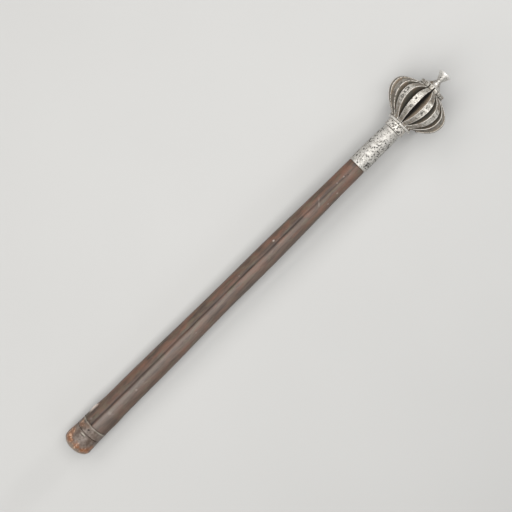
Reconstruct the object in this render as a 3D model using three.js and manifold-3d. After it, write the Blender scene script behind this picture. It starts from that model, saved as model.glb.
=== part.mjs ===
// A flanged ceremonial mace, lying down. Millimetres, +Z up.
// It is drawn along +X from its butt, then tilted so that it rests on the small flat spots
// of its two lowest flanges and of its butt cap. The origin is the middle of its underside.

import * as THREE from 'three';
import { mergeVertices } from 'three/addons/utils/BufferGeometryUtils.js';
import Module from 'manifold-3d';

// Lengths along the mace, from the butt end
const CAP_EDGE_S = 12.6;
const CAP_TOP_S = 29.3;
const BAND_TOP_S = 41.8;
const SOCKET_S = 493.5;
const SOCKET_TOP_S = 552;
const DISC_S = 561.8;
const FOOT_S = 564.9;
const FLARE_S = 566.8;
const EQUATOR_S = 595;
const SHOULDER_S = 615.9;
const LUG_S = 616.7;
const LUG_TOP_S = 620.9;
const FINIAL_BASE_S = 622.3;
const WAIST_S = 631.3;
const KNOB_RIM_S = 641.2;
const LENGTH = 644;

// Clearance between pieces that touch, and the bevel that breaks a turned edge
const GAP = 0.3;
const BEVEL = 0.4;

// Butt cap and band
const CAP_EDGE_R = 19;
const CAP_EDGE_FLAT = 4;
const CAP_TOP_R = 17.7;
const CAP_CUP_DEPTH = 12;
const CAP_DOME_CURVE = 2.3;
const BAND_R = 17.6;
const BAND_LIP_R = 17.9;
const BAND_LIP = 1.6;

// Haft
const HAFT_TENON_R = 15.5;
const HAFT_BUTT_R = 17.4;
const HAFT_GRIP_R = 16.4;
const HAFT_TOP_R = 11.75;
const HAFT_BUTT_END_S = 60;
const HAFT_GRIP_S = 76;
const HAFT_SWELL = 0.1;
const HAFT_WAVE = 0.28;
const HAFT_WAVE_LENGTH = 215;
const HAFT_WAVE_CREST = 140;
const HAFT_STEPS = 14;
const SPIGOT_R = 10;
const SPIGOT_TOP_R = 8.8;

// Socket and the moulded ring above it
const SOCKET_R = 12.3;
const SOCKET_LIP_R = 12.5;
const SOCKET_LIP = 2.4;
const SOCKET_TAPER_S = 543;
const SOCKET_TAPER_R = 11.9;
const SOCKET_NECK = 2.5;
const SOCKET_NECK_R = 10.8;
const SOCKET_TOP_R = 10.6;
const COLLAR_R = 12.8;
const COLLAR_LIP_R = 13.2;
const COLLAR_LIP = 1.5;
const DISC_RIM_R = 17;
const DISC_WAIST_R = 15.8;
const DISC_RIM = 0.9;

// Head: the core, its flanges and the finial
const CORE_R = 14.5;
const CORE_DROP = 0.2;
const FLANGES = 16;
const FOOT_R = 15.9;
const EQUATOR_R = 40.2;
const SHOULDER_R = 16.9;
const GROOVE_R = 16.2;
const LUG_R = 17.1;
const LOWER_CURVE = 2.2;
const UPPER_CURVE = 2.42;
const FLANGE_ROOT_WIDTH = 5;
const FLANGE_END_WIDTH = 5.5;
const FLANGE_EXTRA_WIDTH = 3;
const WIDTH_CURVE = 1.5;
const LOWER_STEPS = 11;
const UPPER_STEPS = 10;
const PLATE_R = 11.9;
const PLATE = 0.8;
const CONE_R = 11;
const CONE_CURVE = 1.6;
const WAIST_R = 3.4;
const KNOB_R = 8.2;
const KNOB_CURVE = 1.25;

// Handwork: the head leans to one side, is larger and fuller above on that side, and its flanges
// are set a little unevenly. Two neighbouring flanges have lost their feet.
const HEAD_LEAN_DEG = 1.25;
const FINIAL_OFFSET = 1;
const DISC_OFFSET = -0.5;
const REACH_SWING = 0.8;
const EQUATOR_SWING = 0.9;
const CURVE_SWING = 0.15;
const SETTING_ERROR_DEG = 1.2;
const SETTING_RHYTHM = 1.5;
const SETTING_PHASE = 0.4;
const BROKEN_FLANGES = [4, 5];
const BREAK_INNER_S = 572;
const BREAK_OUTER_S = 570;
const BREAK_BEND = 0.8;

// Flat spots, and the floor block that cuts them
const HEAD_FLAT = 0.8;
const BUTT_FLAT = 0.4;
const FLOOR_WIDTH = 100;
const FLOOR_DEPTH = 20;

// Facets round each turned piece, and steps along its curves
const HAFT_SIDES = 40;
const RING_SIDES = 40;
const FINIAL_SIDES = 32;
const CAP_DOME_STEPS = 7;
const CURVE_STEPS = 6;
const KNOB_DOME_STEPS = 4;

const LEATHER = { color: 0x4a2e24, roughness: 0.55, metalness: 0 };
const CAP_LEATHER = { color: 0x5b4335, roughness: 0.65, metalness: 0 };
const SILVERED = { color: 0xc9c8c6, roughness: 0.35, metalness: 0.9 };
const STEEL = { color: 0x8d8a86, roughness: 0.4, metalness: 0.9 };

const wasm = await Module();
wasm.setup();

const radians = THREE.MathUtils.degToRad;

function namedMesh(name, geometry, finish) {
  const mesh = new THREE.Mesh(geometry, new THREE.MeshStandardMaterial(finish));
  mesh.name = name;
  return mesh;
}

// A turned solid along +X. The profile holds pairs of place along the axis and radius.
function turned(profile, sides) {
  const points = profile.map(([along, radius]) => new THREE.Vector2(radius, along));
  const geometry = new THREE.LatheGeometry(points, sides);
  geometry.rotateZ(-Math.PI / 2);
  return geometry;
}

// Evenly spaced numbers from start to end, both included.
function spaced(start, end, steps) {
  return Array.from({ length: steps + 1 }, (_, i) => start + ((end - start) * i) / steps);
}

function buttCap() {
  const power = 2 / CAP_DOME_CURVE;
  const dome = spaced(0, Math.PI / 2, CAP_DOME_STEPS).map((turn) => [
    CAP_EDGE_S * (1 - Math.max(0, Math.cos(turn)) ** power),
    CAP_EDGE_R * Math.sin(turn) ** power,
  ]);
  const cupRadius = HAFT_TENON_R + GAP;
  const cupFloor = CAP_TOP_S - CAP_CUP_DEPTH;
  return turned(
    [
      ...dome,
      [CAP_EDGE_S + CAP_EDGE_FLAT, CAP_EDGE_R - BEVEL],
      [CAP_TOP_S - GAP, CAP_TOP_R],
      [CAP_TOP_S - GAP, cupRadius],
      [cupFloor, cupRadius],
      [cupFloor, 0],
    ],
    RING_SIDES,
  );
}

function buttBand() {
  const inside = HAFT_TENON_R + GAP;
  const top = BAND_TOP_S - GAP;
  return turned(
    [
      [CAP_TOP_S, inside],
      [CAP_TOP_S, BAND_R],
      [top - 2 * BAND_LIP, BAND_R],
      [top - BAND_LIP, BAND_LIP_R],
      [top, BAND_LIP_R],
      [top, inside],
      [CAP_TOP_S, inside],
    ],
    RING_SIDES,
  );
}

// Radius of the covered haft between the grip and the sleeve: a taper, uneven by a slow wave.
function haftRadius(along) {
  const part = (along - HAFT_GRIP_S) / (SOCKET_S - HAFT_GRIP_S);
  const swell = HAFT_SWELL * Math.sin(Math.PI * part);
  const wave = HAFT_WAVE * Math.cos((2 * Math.PI * (along - HAFT_WAVE_CREST)) / HAFT_WAVE_LENGTH);
  return HAFT_GRIP_R + (HAFT_TOP_R - HAFT_GRIP_R) * part + swell + wave;
}

function haft() {
  const shoulder = SOCKET_S - GAP;
  const body = spaced(HAFT_GRIP_S, shoulder, HAFT_STEPS).map((s) => [s, haftRadius(s)]);
  const start = CAP_TOP_S - CAP_CUP_DEPTH + GAP;
  return turned(
    [
      [start, 0],
      [start, HAFT_TENON_R],
      [BAND_TOP_S, HAFT_TENON_R],
      [BAND_TOP_S, HAFT_BUTT_R],
      [HAFT_BUTT_END_S, HAFT_BUTT_R],
      ...body,
      [shoulder, SPIGOT_R],
      [SOCKET_TAPER_S, SPIGOT_R],
      [SOCKET_TOP_S, SPIGOT_TOP_R],
      [SOCKET_TOP_S, 0],
    ],
    HAFT_SIDES,
  );
}

function socket() {
  return turned(
    [
      [SOCKET_S, SPIGOT_R + GAP],
      [SOCKET_S, SOCKET_LIP_R - BEVEL],
      [SOCKET_S + BEVEL, SOCKET_LIP_R],
      [SOCKET_S + SOCKET_LIP, SOCKET_LIP_R],
      [SOCKET_S + 2 * SOCKET_LIP, SOCKET_R],
      [SOCKET_TAPER_S, SOCKET_TAPER_R],
      [SOCKET_TOP_S - SOCKET_NECK, SOCKET_NECK_R],
      [SOCKET_TOP_S, SOCKET_TOP_R],
      [SOCKET_TOP_S, SPIGOT_TOP_R + GAP],
      [SOCKET_TAPER_S, SPIGOT_R + GAP],
      [SOCKET_S, SPIGOT_R + GAP],
    ],
    RING_SIDES,
  );
}

// The collar and everything above it lean together, so they are drawn from the sleeve's top.
function collar() {
  const bottom = 2 * GAP;
  const top = DISC_S - GAP - SOCKET_TOP_S;
  return turned(
    [
      [bottom, 0],
      [bottom, COLLAR_LIP_R - BEVEL],
      [bottom + BEVEL, COLLAR_LIP_R],
      [bottom + COLLAR_LIP, COLLAR_R],
      [top, COLLAR_R],
      [top, 0],
    ],
    RING_SIDES,
  );
}

function neckDisc() {
  const bottom = DISC_S - SOCKET_TOP_S;
  const top = FOOT_S - GAP - SOCKET_TOP_S;
  return turned(
    [
      [bottom, 0],
      [bottom, DISC_RIM_R - BEVEL],
      [bottom + BEVEL, DISC_RIM_R],
      [bottom + BEVEL + DISC_RIM, DISC_RIM_R - BEVEL],
      [top, DISC_WAIST_R],
      [top, 0],
    ],
    RING_SIDES,
  );
}

function headCore() {
  const bottom = FOOT_S - SOCKET_TOP_S;
  const top = LUG_TOP_S - CORE_DROP - SOCKET_TOP_S;
  return turned(
    [
      [bottom, 0],
      [bottom, CORE_R],
      [top, CORE_R],
      [top, 0],
    ],
    RING_SIDES,
  );
}

// Place of a flange's widest point. side is 1 at the right of the mace, -1 at its left, from above.
function flangeEquator(side) {
  return EQUATOR_S - EQUATOR_SWING * side;
}

// Outer radius of a flange at a place along the mace.
function flangeReach(along, side) {
  const widest = EQUATOR_R - REACH_SWING * side;
  const equator = flangeEquator(side);
  if (along <= FLARE_S) return FOOT_R;
  if (along <= equator) {
    const part = (equator - along) / (equator - FLARE_S);
    return FOOT_R + (widest - FOOT_R) * (1 - part ** (LOWER_CURVE + CURVE_SWING * side));
  }
  const part = (along - equator) / (SHOULDER_S - equator);
  return SHOULDER_R + (widest - SHOULDER_R) * (1 - part ** (UPPER_CURVE - CURVE_SWING * side));
}

// Width of a flange's outer face: widest at the equator, narrower towards both ends.
function flangeWidth(along) {
  const half = along < EQUATOR_S ? EQUATOR_S - FLARE_S : SHOULDER_S - EQUATOR_S;
  const part = Math.min(1, Math.abs(along - EQUATOR_S) / half);
  return FLANGE_END_WIDTH + FLANGE_EXTRA_WIDTH * (1 - part ** WIDTH_CURVE);
}

// Sections of a flange from foot to lug: place at the root, place at the face, reach and width.
function flangeSections(side, broken) {
  const section = (along, reach) => ({ root: along, face: along, reach, width: flangeWidth(along) });
  const lower = spaced(FLARE_S, flangeEquator(side), LOWER_STEPS);
  const upper = spaced(flangeEquator(side), SHOULDER_S, UPPER_STEPS).slice(1);
  const sections = [FOOT_S, ...lower, ...upper].map((s) => section(s, flangeReach(s, side)));
  sections.push(section((SHOULDER_S + LUG_S) / 2, GROOVE_R));
  sections.push(section(LUG_S, LUG_R), section(LUG_TOP_S, LUG_R));
  if (!broken) return sections;
  const whole = sections.filter((one) => one.face > BREAK_INNER_S);
  const end = section(BREAK_OUTER_S, flangeReach(BREAK_OUTER_S, side) + BREAK_BEND);
  return [{ ...end, root: BREAK_INNER_S }, ...whole];
}

// A flange is a box whose sections follow its outline: X along the mace, Y away from the axis.
function flange(side, broken) {
  const sections = flangeSections(side, broken);
  const last = sections.length - 1;
  const geometry = new THREE.BoxGeometry(1, 1, 1, last, 1, 1);
  const place = geometry.attributes.position;
  for (let i = 0; i < place.count; i += 1) {
    const section = sections[Math.round((place.getX(i) + 0.5) * last)];
    const onFace = place.getY(i) > 0;
    const along = (onFace ? section.face : section.root) - SOCKET_TOP_S;
    const away = onFace ? section.reach : CORE_R + GAP;
    const width = onFace ? section.width : FLANGE_ROOT_WIDTH;
    place.setXYZ(i, along, away, place.getZ(i) * width);
  }
  return geometry;
}

// Turn of a flange about the axis, from straight up towards the right, with its setting error.
function flangeTurn(number) {
  const pitch = 360 / FLANGES;
  const error = SETTING_ERROR_DEG * Math.sin(SETTING_RHYTHM * number + SETTING_PHASE);
  return radians(pitch * (number - 0.5) + error);
}

function finial() {
  const base = LUG_TOP_S + GAP - SOCKET_TOP_S;
  const coneFoot = FINIAL_BASE_S - SOCKET_TOP_S;
  const waist = WAIST_S - SOCKET_TOP_S;
  const rim = KNOB_RIM_S - SOCKET_TOP_S;
  const domeHeight = LENGTH - KNOB_RIM_S;
  const cone = spaced(0, 1, CURVE_STEPS).map((part) => [
    coneFoot + (waist - coneFoot) * part,
    WAIST_R + (CONE_R - WAIST_R) * (1 - part) ** CONE_CURVE,
  ]);
  const trumpet = spaced(0, 1, CURVE_STEPS).map((part) => [
    waist + (rim - waist) * part,
    WAIST_R + (KNOB_R - WAIST_R) * part ** KNOB_CURVE,
  ]);
  const dome = spaced(0, Math.PI / 2, KNOB_DOME_STEPS).map((turn) => [
    rim + domeHeight * Math.sin(turn),
    KNOB_R * Math.cos(turn),
  ]);
  return turned(
    [
      [base, 0],
      [base, PLATE_R],
      [base + PLATE, PLATE_R],
      ...cone,
      ...trumpet.slice(1),
      ...dome.slice(1, -1),
      [LENGTH - SOCKET_TOP_S, 0],
    ],
    FINIAL_SIDES,
  );
}

function toSolid(geometry) {
  const bare = geometry.clone();
  bare.deleteAttribute('normal');
  bare.deleteAttribute('uv');
  const merged = mergeVertices(bare);
  const corners = merged.index.array;
  const triangles = [];
  for (let i = 0; i < corners.length; i += 3) {
    const [a, b, c] = corners.slice(i, i + 3);
    if (a !== b && b !== c && c !== a) triangles.push(a, b, c);
  }
  const mesh = new wasm.Mesh({
    numProp: 3,
    vertProperties: Float32Array.from(merged.attributes.position.array),
    triVerts: Uint32Array.from(triangles),
  });
  return new wasm.Manifold(mesh);
}

function toGeometry(solid) {
  const mesh = solid.getMesh();
  const geometry = new THREE.BufferGeometry();
  geometry.setAttribute('position', new THREE.BufferAttribute(mesh.vertProperties, 3));
  geometry.setIndex(new THREE.BufferAttribute(mesh.triVerts, 1));
  geometry.computeVertexNormals();
  return geometry;
}

// Cuts off what reaches below the floor, which leaves the flat spot that the mace lies on.
function flattenUnder(mesh) {
  const floor = new THREE.BoxGeometry(2 * LENGTH, FLOOR_WIDTH, FLOOR_DEPTH);
  floor.translate(0, 0, -FLOOR_DEPTH / 2);
  floor.applyMatrix4(mesh.matrixWorld.clone().invert());
  mesh.geometry = toGeometry(toSolid(mesh.geometry).subtract(toSolid(floor)));
}

function head() {
  const group = new THREE.Group();
  group.add(namedMesh('collar', collar(), SILVERED));
  const disc = namedMesh('neck_disc', neckDisc(), SILVERED);
  disc.position.y = DISC_OFFSET;
  group.add(disc);
  group.add(namedMesh('head_core', headCore(), STEEL));
  for (let number = 1; number <= FLANGES; number += 1) {
    const turn = flangeTurn(number);
    const broken = BROKEN_FLANGES.includes(number);
    const name = `flange_${String(number).padStart(2, '0')}`;
    const piece = namedMesh(name, flange(Math.sin(turn), broken), STEEL);
    piece.rotation.x = Math.PI / 2 + turn;
    group.add(piece);
  }
  const top = namedMesh('finial', finial(), SILVERED);
  top.position.y = FINIAL_OFFSET;
  group.add(top);
  group.position.x = SOCKET_TOP_S;
  group.rotation.z = radians(HEAD_LEAN_DEG);
  return group;
}

// Tilt that brings the lowest flanges and the butt cap down to one floor, and the axis height.
function restingPose() {
  const halfPitch = Math.PI / FLANGES;
  const halfFace = flangeWidth(EQUATOR_S) / 2;
  const corner = EQUATOR_R * Math.cos(halfPitch) + halfFace * Math.sin(halfPitch);
  const headDrop = corner - HEAD_FLAT;
  const buttDrop = CAP_EDGE_R - BUTT_FLAT;
  const tilt = Math.atan((headDrop - buttDrop) / (EQUATOR_S - CAP_EDGE_S));
  return { tilt, height: buttDrop * Math.cos(tilt) - CAP_EDGE_S * Math.sin(tilt) };
}

function lyingMace() {
  const mace = new THREE.Group();
  mace.add(namedMesh('butt_cap', buttCap(), CAP_LEATHER));
  mace.add(namedMesh('butt_band', buttBand(), CAP_LEATHER));
  mace.add(namedMesh('haft', haft(), LEATHER));
  mace.add(namedMesh('socket', socket(), SILVERED));
  mace.add(head());
  const pose = restingPose();
  mace.rotation.y = -pose.tilt;
  mace.position.z = pose.height;
  mace.updateMatrixWorld(true);

  const lowest = [FLANGES / 2, FLANGES / 2 + 1];
  const resting = ['butt_cap', ...lowest.map((n) => `flange_${String(n).padStart(2, '0')}`)];
  resting.forEach((name) => flattenUnder(mace.getObjectByName(name)));

  const box = new THREE.Box3().setFromObject(mace, true);
  mace.position.x -= (box.min.x + box.max.x) / 2;
  mace.position.y -= (box.min.y + box.max.y) / 2;
  mace.updateMatrixWorld(true);
  return mace;
}

export default lyingMace();
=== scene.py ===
"""A flanged ceremonial mace, lying: its visible surfaces, finishes, light and camera.

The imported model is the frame. Every piece here repeats a solid's form with its finer relief, and
stands for that solid. Sizes are in millimetres until a mesh is made, which is in metres. Angles round
the mace are in degrees from straight up, positive to the right.
"""

import logging
import math
from abc import ABC, abstractmethod
from dataclasses import dataclass
from enum import Enum
from typing import ClassVar

import bpy
import numpy as np
from mathutils import Matrix, Vector


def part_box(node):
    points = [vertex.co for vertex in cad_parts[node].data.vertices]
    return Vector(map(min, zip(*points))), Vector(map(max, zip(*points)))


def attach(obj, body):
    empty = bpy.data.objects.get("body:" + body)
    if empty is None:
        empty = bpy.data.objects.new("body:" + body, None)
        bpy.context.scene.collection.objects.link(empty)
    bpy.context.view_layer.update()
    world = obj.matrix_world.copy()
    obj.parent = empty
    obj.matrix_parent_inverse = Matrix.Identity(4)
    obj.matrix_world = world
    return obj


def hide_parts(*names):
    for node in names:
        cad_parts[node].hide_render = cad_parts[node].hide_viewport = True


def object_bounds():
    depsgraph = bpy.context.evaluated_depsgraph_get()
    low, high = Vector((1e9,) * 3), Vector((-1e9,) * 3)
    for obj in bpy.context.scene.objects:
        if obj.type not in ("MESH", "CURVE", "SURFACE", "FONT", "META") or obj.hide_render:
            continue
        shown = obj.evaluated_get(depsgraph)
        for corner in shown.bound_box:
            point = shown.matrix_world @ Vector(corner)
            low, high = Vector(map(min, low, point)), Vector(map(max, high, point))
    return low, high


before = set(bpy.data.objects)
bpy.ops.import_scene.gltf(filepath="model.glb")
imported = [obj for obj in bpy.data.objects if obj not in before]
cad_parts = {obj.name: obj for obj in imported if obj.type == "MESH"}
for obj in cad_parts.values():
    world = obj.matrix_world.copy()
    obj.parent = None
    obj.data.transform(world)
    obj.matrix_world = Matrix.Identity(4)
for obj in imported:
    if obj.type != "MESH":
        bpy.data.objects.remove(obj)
CAD_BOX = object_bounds()

METRES = 0.001
SMOOTH_BELOW = math.radians(38)
ALL_ROUND = (-180, 180)

Grid = np.ndarray
Amount = Grid | float
Pair = tuple[float, float]
Triple = tuple[float, float, float]
Colour = Triple
Socket = bpy.types.NodeSocket
Feed = Socket | float | Colour

# A spot's place along, its angle or place across, its radius, and its strength or depth
Spot = tuple[float, float, float, float]

# A cut's place along and angle at one end, the same at the other end, its width and its depth
Cut = tuple[float, float, float, float, float, float]

log = logging.getLogger("mace")


@dataclass(frozen=True)
class MaceSizes:
    """Main sizes along the mace from its butt, and radii, as the solids have them."""

    cap_edge: float = 12.6
    cap_top: float = 29.3
    cup_depth: float = 12.0
    band_top: float = 41.8
    butt_end: float = 60.0
    grip: float = 76.0
    socket: float = 493.5
    taper: float = 543.0
    socket_top: float = 552.0
    disc: float = 561.8
    foot: float = 564.9
    flare: float = 566.8
    equator: float = 595.0
    shoulder: float = 615.9
    lug: float = 616.7
    lug_top: float = 620.9
    finial_base: float = 622.3
    waist: float = 631.3
    knob_rim: float = 641.2
    length: float = 644.0
    gap: float = 0.3
    bevel: float = 0.4
    cap_edge_radius: float = 19.0
    tenon_radius: float = 15.5
    equator_radius: float = 40.2
    face_width: float = 8.5
    flanges: int = 16
    head_flat: float = 0.8
    butt_flat: float = 0.4
    head_lean: float = math.radians(1.25)

    @property
    def haft_start(self) -> float:
        """Lower end of the haft, just off the bottom of the cap's cup."""
        return self.cap_top - self.cup_depth + self.gap

    @property
    def groove(self) -> float:
        """Middle of the groove between a flange's shoulder and its lug."""
        return (self.shoulder + self.lug) / 2


SIZES = MaceSizes()


class Placement:
    """Turns places on the mace, measured along and away from its axis, into the shared frame."""

    def __init__(self) -> None:
        """Finds the resting tilt and height, and anchors them on the haft's solid."""
        half_pitch = math.pi / SIZES.flanges
        corner = SIZES.equator_radius * math.cos(half_pitch)
        corner += SIZES.face_width / 2 * math.sin(half_pitch)
        head_drop = corner - SIZES.head_flat
        butt_drop = SIZES.cap_edge_radius - SIZES.butt_flat
        self.tilt = math.atan((head_drop - butt_drop) / (SIZES.equator - SIZES.cap_edge))
        self.height = butt_drop * math.cos(self.tilt) - SIZES.cap_edge * math.sin(self.tilt)
        low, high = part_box("haft")
        self.shift = low.x / METRES - SIZES.haft_start * math.cos(self.tilt)
        self.shift += SIZES.tenon_radius * math.sin(self.tilt)
        self.side = (low.y + high.y) / 2 / METRES

    def body(self, points: Grid) -> Grid:
        """Places of the haft and sleeve in the shared frame.

        Args:
            points: places as along, left and up from the axis, in millimetres.

        Returns:
            The same places in the shared frame, in metres.
        """
        along, left, up = points[..., 0], points[..., 1], points[..., 2]
        cos, sin = math.cos(self.tilt), math.sin(self.tilt)
        x = self.shift + along * cos - up * sin
        z = self.height + along * sin + up * cos
        return np.stack([x, self.side + left, z], -1) * METRES

    def head(self, points: Grid) -> Grid:
        """Places of the leaning head in the shared frame.

        Args:
            points: places as along from the butt, left and up from the head's own axis.

        Returns:
            The same places in the shared frame, in metres.
        """
        along, left = points[..., 0] - SIZES.socket_top, points[..., 1]
        cos, sin = math.cos(SIZES.head_lean), math.sin(SIZES.head_lean)
        leaning = SIZES.socket_top + along * cos - left * sin
        return self.body(np.stack([leaning, along * sin + left * cos, points[..., 2]], -1))


PLACEMENT = Placement()


def bell(away: Grid, width: Amount) -> Grid:
    """A soft bump, which is 1 where away is 0 and fades to nothing past twice the width."""
    return np.exp(-((away / width) ** 2))


def ramp(value: Grid, low: float, high: float) -> Grid:
    """Rises evenly from 0 at low to 1 at high, and is level beyond them."""
    return np.clip((value - low) / (high - low), 0, 1)


def unit(value: Amount) -> Grid:
    """A value kept between 0 and 1."""
    return np.clip(value, 0, 1)


def stacked(*parts: Amount) -> Grid:
    """Coordinates spread to the shape that they share and stacked on a last axis."""
    return np.stack(np.broadcast_arrays(*parts), -1)


class Unevenness:
    """Smooth noise in space that is the same on each run."""

    CELLS: ClassVar[int] = 32
    LAYER_SHIFT: ClassVar[float] = 7.3

    def __init__(self, seed: int) -> None:
        """Fills the lattice from a seed."""
        self.lattice = np.random.default_rng(seed).uniform(-1, 1, (self.CELLS,) * 3)

    def at(self, points: Grid, size: float | Triple, layers: int = 1) -> Grid:
        """Noise at some places.

        Args:
            points: places, the last axis being the three coordinates.
            size: size of the noise's cells, one for all axes or one for each.
            layers: how many layers it has, each half as coarse and half as strong as the last.

        Returns:
            Values between about -1 and 1.
        """
        total = np.zeros(points.shape[:-1])
        for layer in range(layers):
            places = points / np.asarray(size) * 2**layer + self.LAYER_SHIFT * layer
            total += self._layer(places) / 2**layer
        return total / (2 - 2 ** (1 - layers))

    def _layer(self, places: Grid) -> Grid:
        """One layer of noise, blended between the eight lattice corners round each place.

        Args:
            places: places in cells, the last axis being the three coordinates.

        Returns:
            Values from -1 to 1.
        """
        cell = np.floor(places).astype(int)
        part = places - cell
        part = part * part * (3 - 2 * part)
        value = np.zeros(places.shape[:-1])
        for corner in np.ndindex(2, 2, 2):
            index = [(cell[..., axis] + corner[axis]) % self.CELLS for axis in range(3)]
            weight = [part[..., axis] if corner[axis] else 1 - part[..., axis] for axis in range(3)]
            value += self.lattice[tuple(index)] * weight[0] * weight[1] * weight[2]
        return value


class Marks:
    """Dents and cuts on a surface laid out flat, in millimetres."""

    ARC_PLACES: ClassVar[int] = 7
    ARC_SHRINK: ClassVar[float] = 0.66

    def __init__(self, along: Grid, across: Grid, girth: Amount | None = None) -> None:
        """Keeps the laid-out places.

        Args:
            along: place of each vertex along the surface.
            across: place of each vertex across or round the surface.
            girth: the length round, where the surface closes on itself.
        """
        self.along = along
        self.across = across
        self.girth = girth
        self.depth = np.zeros(np.broadcast(along, across).shape)

    def _offset(self, along: float, across: float) -> tuple[Grid, Grid]:
        """Distances of every vertex from a place, the shorter way round.

        Args:
            along: the place along the surface.
            across: the place across or round it.

        Returns:
            The distances along, and those across or round.
        """
        over = self.across - across
        if self.girth is not None:
            over = (over + self.girth / 2) % self.girth - self.girth / 2
        return self.along - along, over

    def _deepen(self, depth: Grid) -> None:
        """Keeps the deeper of what is there and a new mark."""
        self.depth = np.maximum(self.depth, depth)

    def dot(self, along: float, across: float, radius: float, depth: float) -> None:
        """Presses a round dent.

        Args:
            along: its place along the surface.
            across: its place across or round it.
            radius: its radius.
            depth: its depth in the middle.
        """
        up, over = self._offset(along, across)
        away = (up**2 + over**2) / radius**2
        self._deepen(depth * np.exp(-(away**1.5)))

    def stroke(self, start: Pair, end: Pair, width: float, depth: float) -> None:
        """Cuts a straight line with tapering ends.

        Args:
            start: one end, along and across.
            end: the other end.
            width: width of the cut.
            depth: its depth in the middle.
        """
        up, over = self._offset(*start)
        run, rise = end[0] - start[0], end[1] - start[1]
        length = max(math.hypot(run, rise), 1e-6)
        part = unit((up * run + over * rise) / length**2)
        away = np.hypot(up - part * run, over - part * rise)
        taper = 0.45 + 0.55 * np.sin(math.pi * np.clip(part, 0.05, 0.95))
        self._deepen(depth * taper * bell(away, width / 2))

    def ring(self, centre: Pair, radius: float, width: float, depth: float, stretch: float) -> None:
        """Cuts a circle, or an oval that is longer along the surface.

        Args:
            centre: its centre, along and across.
            radius: its radius across.
            width: width of the cut.
            depth: depth of the cut.
            stretch: how many times longer than wide it is.
        """
        up, over = self._offset(*centre)
        self._deepen(depth * bell(np.hypot(up / stretch, over) - radius, width / 2))

    def arc(self, centre: Pair, radius: float, turns: Pair, width: float, depth: float) -> None:
        """Cuts part of a spiral as short strokes.

        Args:
            centre: its centre, along and across.
            radius: its radius at the start, which shrinks by a third to its end.
            turns: start and end angle in radians.
            width: width of the cut.
            depth: depth of the cut.
        """
        angles = np.linspace(turns[0], turns[1], self.ARC_PLACES)
        radii = radius * np.linspace(1, self.ARC_SHRINK, self.ARC_PLACES)
        places = list(zip(centre[0] + radii * np.sin(angles), centre[1] + radii * np.cos(angles)))
        for start, end in zip(places, places[1:]):
            self.stroke(start, end, width, depth)


class Ends(Enum):
    """How the ends of a ringed surface are closed."""

    POLES = "poles"
    LOOP = "loop"


def ringed_mesh(name: str, places: Grid, values: dict[str, Grid], ends: Ends) -> bpy.types.Object:
    """Makes one closed mesh from rings of places.

    Args:
        name: name of the piece.
        places: rings by places round by three, in the shared frame, in metres.
        values: shading values by name, each rings by places round.
        ends: whether the first and last ring shrink to a point each, or the last joins the first.

    Returns:
        The new object.
    """
    rings, sides = places.shape[:2]
    index = np.arange(rings * sides).reshape(rings, sides)
    if ends is Ends.POLES:
        index[0, :] = index[0, 0]
        index[-1, :] = index[-1, 0]
        lower, upper = index[:-1], index[1:]
    else:
        lower, upper = index, np.roll(index, -1, 0)
    quads = np.stack([lower, np.roll(lower, -1, 1), np.roll(upper, -1, 1), upper], -1).reshape(-1, 4)
    used, compact = np.unique(quads, return_inverse=True)
    faces = [list(dict.fromkeys(face)) for face in compact.reshape(-1, 4).tolist()]
    mesh = bpy.data.meshes.new(name)
    mesh.from_pydata(places.reshape(-1, 3)[used].tolist(), [], faces)
    for key, value in values.items():
        layer = mesh.attributes.new(key, "FLOAT", "POINT")
        spread = np.broadcast_to(value, (rings, sides)).reshape(-1)[used]
        layer.data.foreach_set("value", spread.astype(np.float32))
    mesh.polygons.foreach_set("use_smooth", [True] * len(mesh.polygons))
    mesh.set_sharp_from_angle(angle=SMOOTH_BELOW)
    mesh.update()
    piece = bpy.data.objects.new(name, mesh)
    bpy.context.scene.collection.objects.link(piece)
    return piece


class Profile:
    """The outline of a turned piece, as close places along it with their outward directions."""

    def __init__(self) -> None:
        """Starts an empty outline."""
        self.corners: list[Pair] = []
        self.steps: list[float] = []

    def run(self, corners: list[Pair], step: float) -> "Profile":
        """Adds corners, and says how close the places towards each are.

        Args:
            corners: pairs of place along the axis and radius.
            step: spacing of the places that lead to these corners.

        Returns:
            This profile, so that calls can follow each other.
        """
        self.corners += corners
        self.steps += [step] * len(corners)
        return self

    def places(self) -> tuple[Grid, Grid, Grid, Grid]:
        """Close places along the outline, its corners slightly softened.

        Returns:
            Place along the axis, radius, and the outward direction along and away from the axis.
        """
        along, radius = [self.corners[0][0]], [self.corners[0][1]]
        for (a0, r0), (a1, r1), step in zip(self.corners, self.corners[1:], self.steps[1:]):
            count = max(1, round(math.hypot(a1 - a0, r1 - r0) / step))
            parts = np.arange(1, count + 1) / count
            along += (a0 + (a1 - a0) * parts).tolist()
            radius += (r0 + (r1 - r0) * parts).tolist()
        line = np.array([along, radius])
        line[:, 1:-1] = line[:, 1:-1] / 2 + (line[:, :-2] + line[:, 2:]) / 4
        slope = np.gradient(line, axis=1)
        slope /= np.maximum(np.hypot(*slope), 1e-9)
        return line[0], line[1], -slope[1], slope[0]


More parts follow.
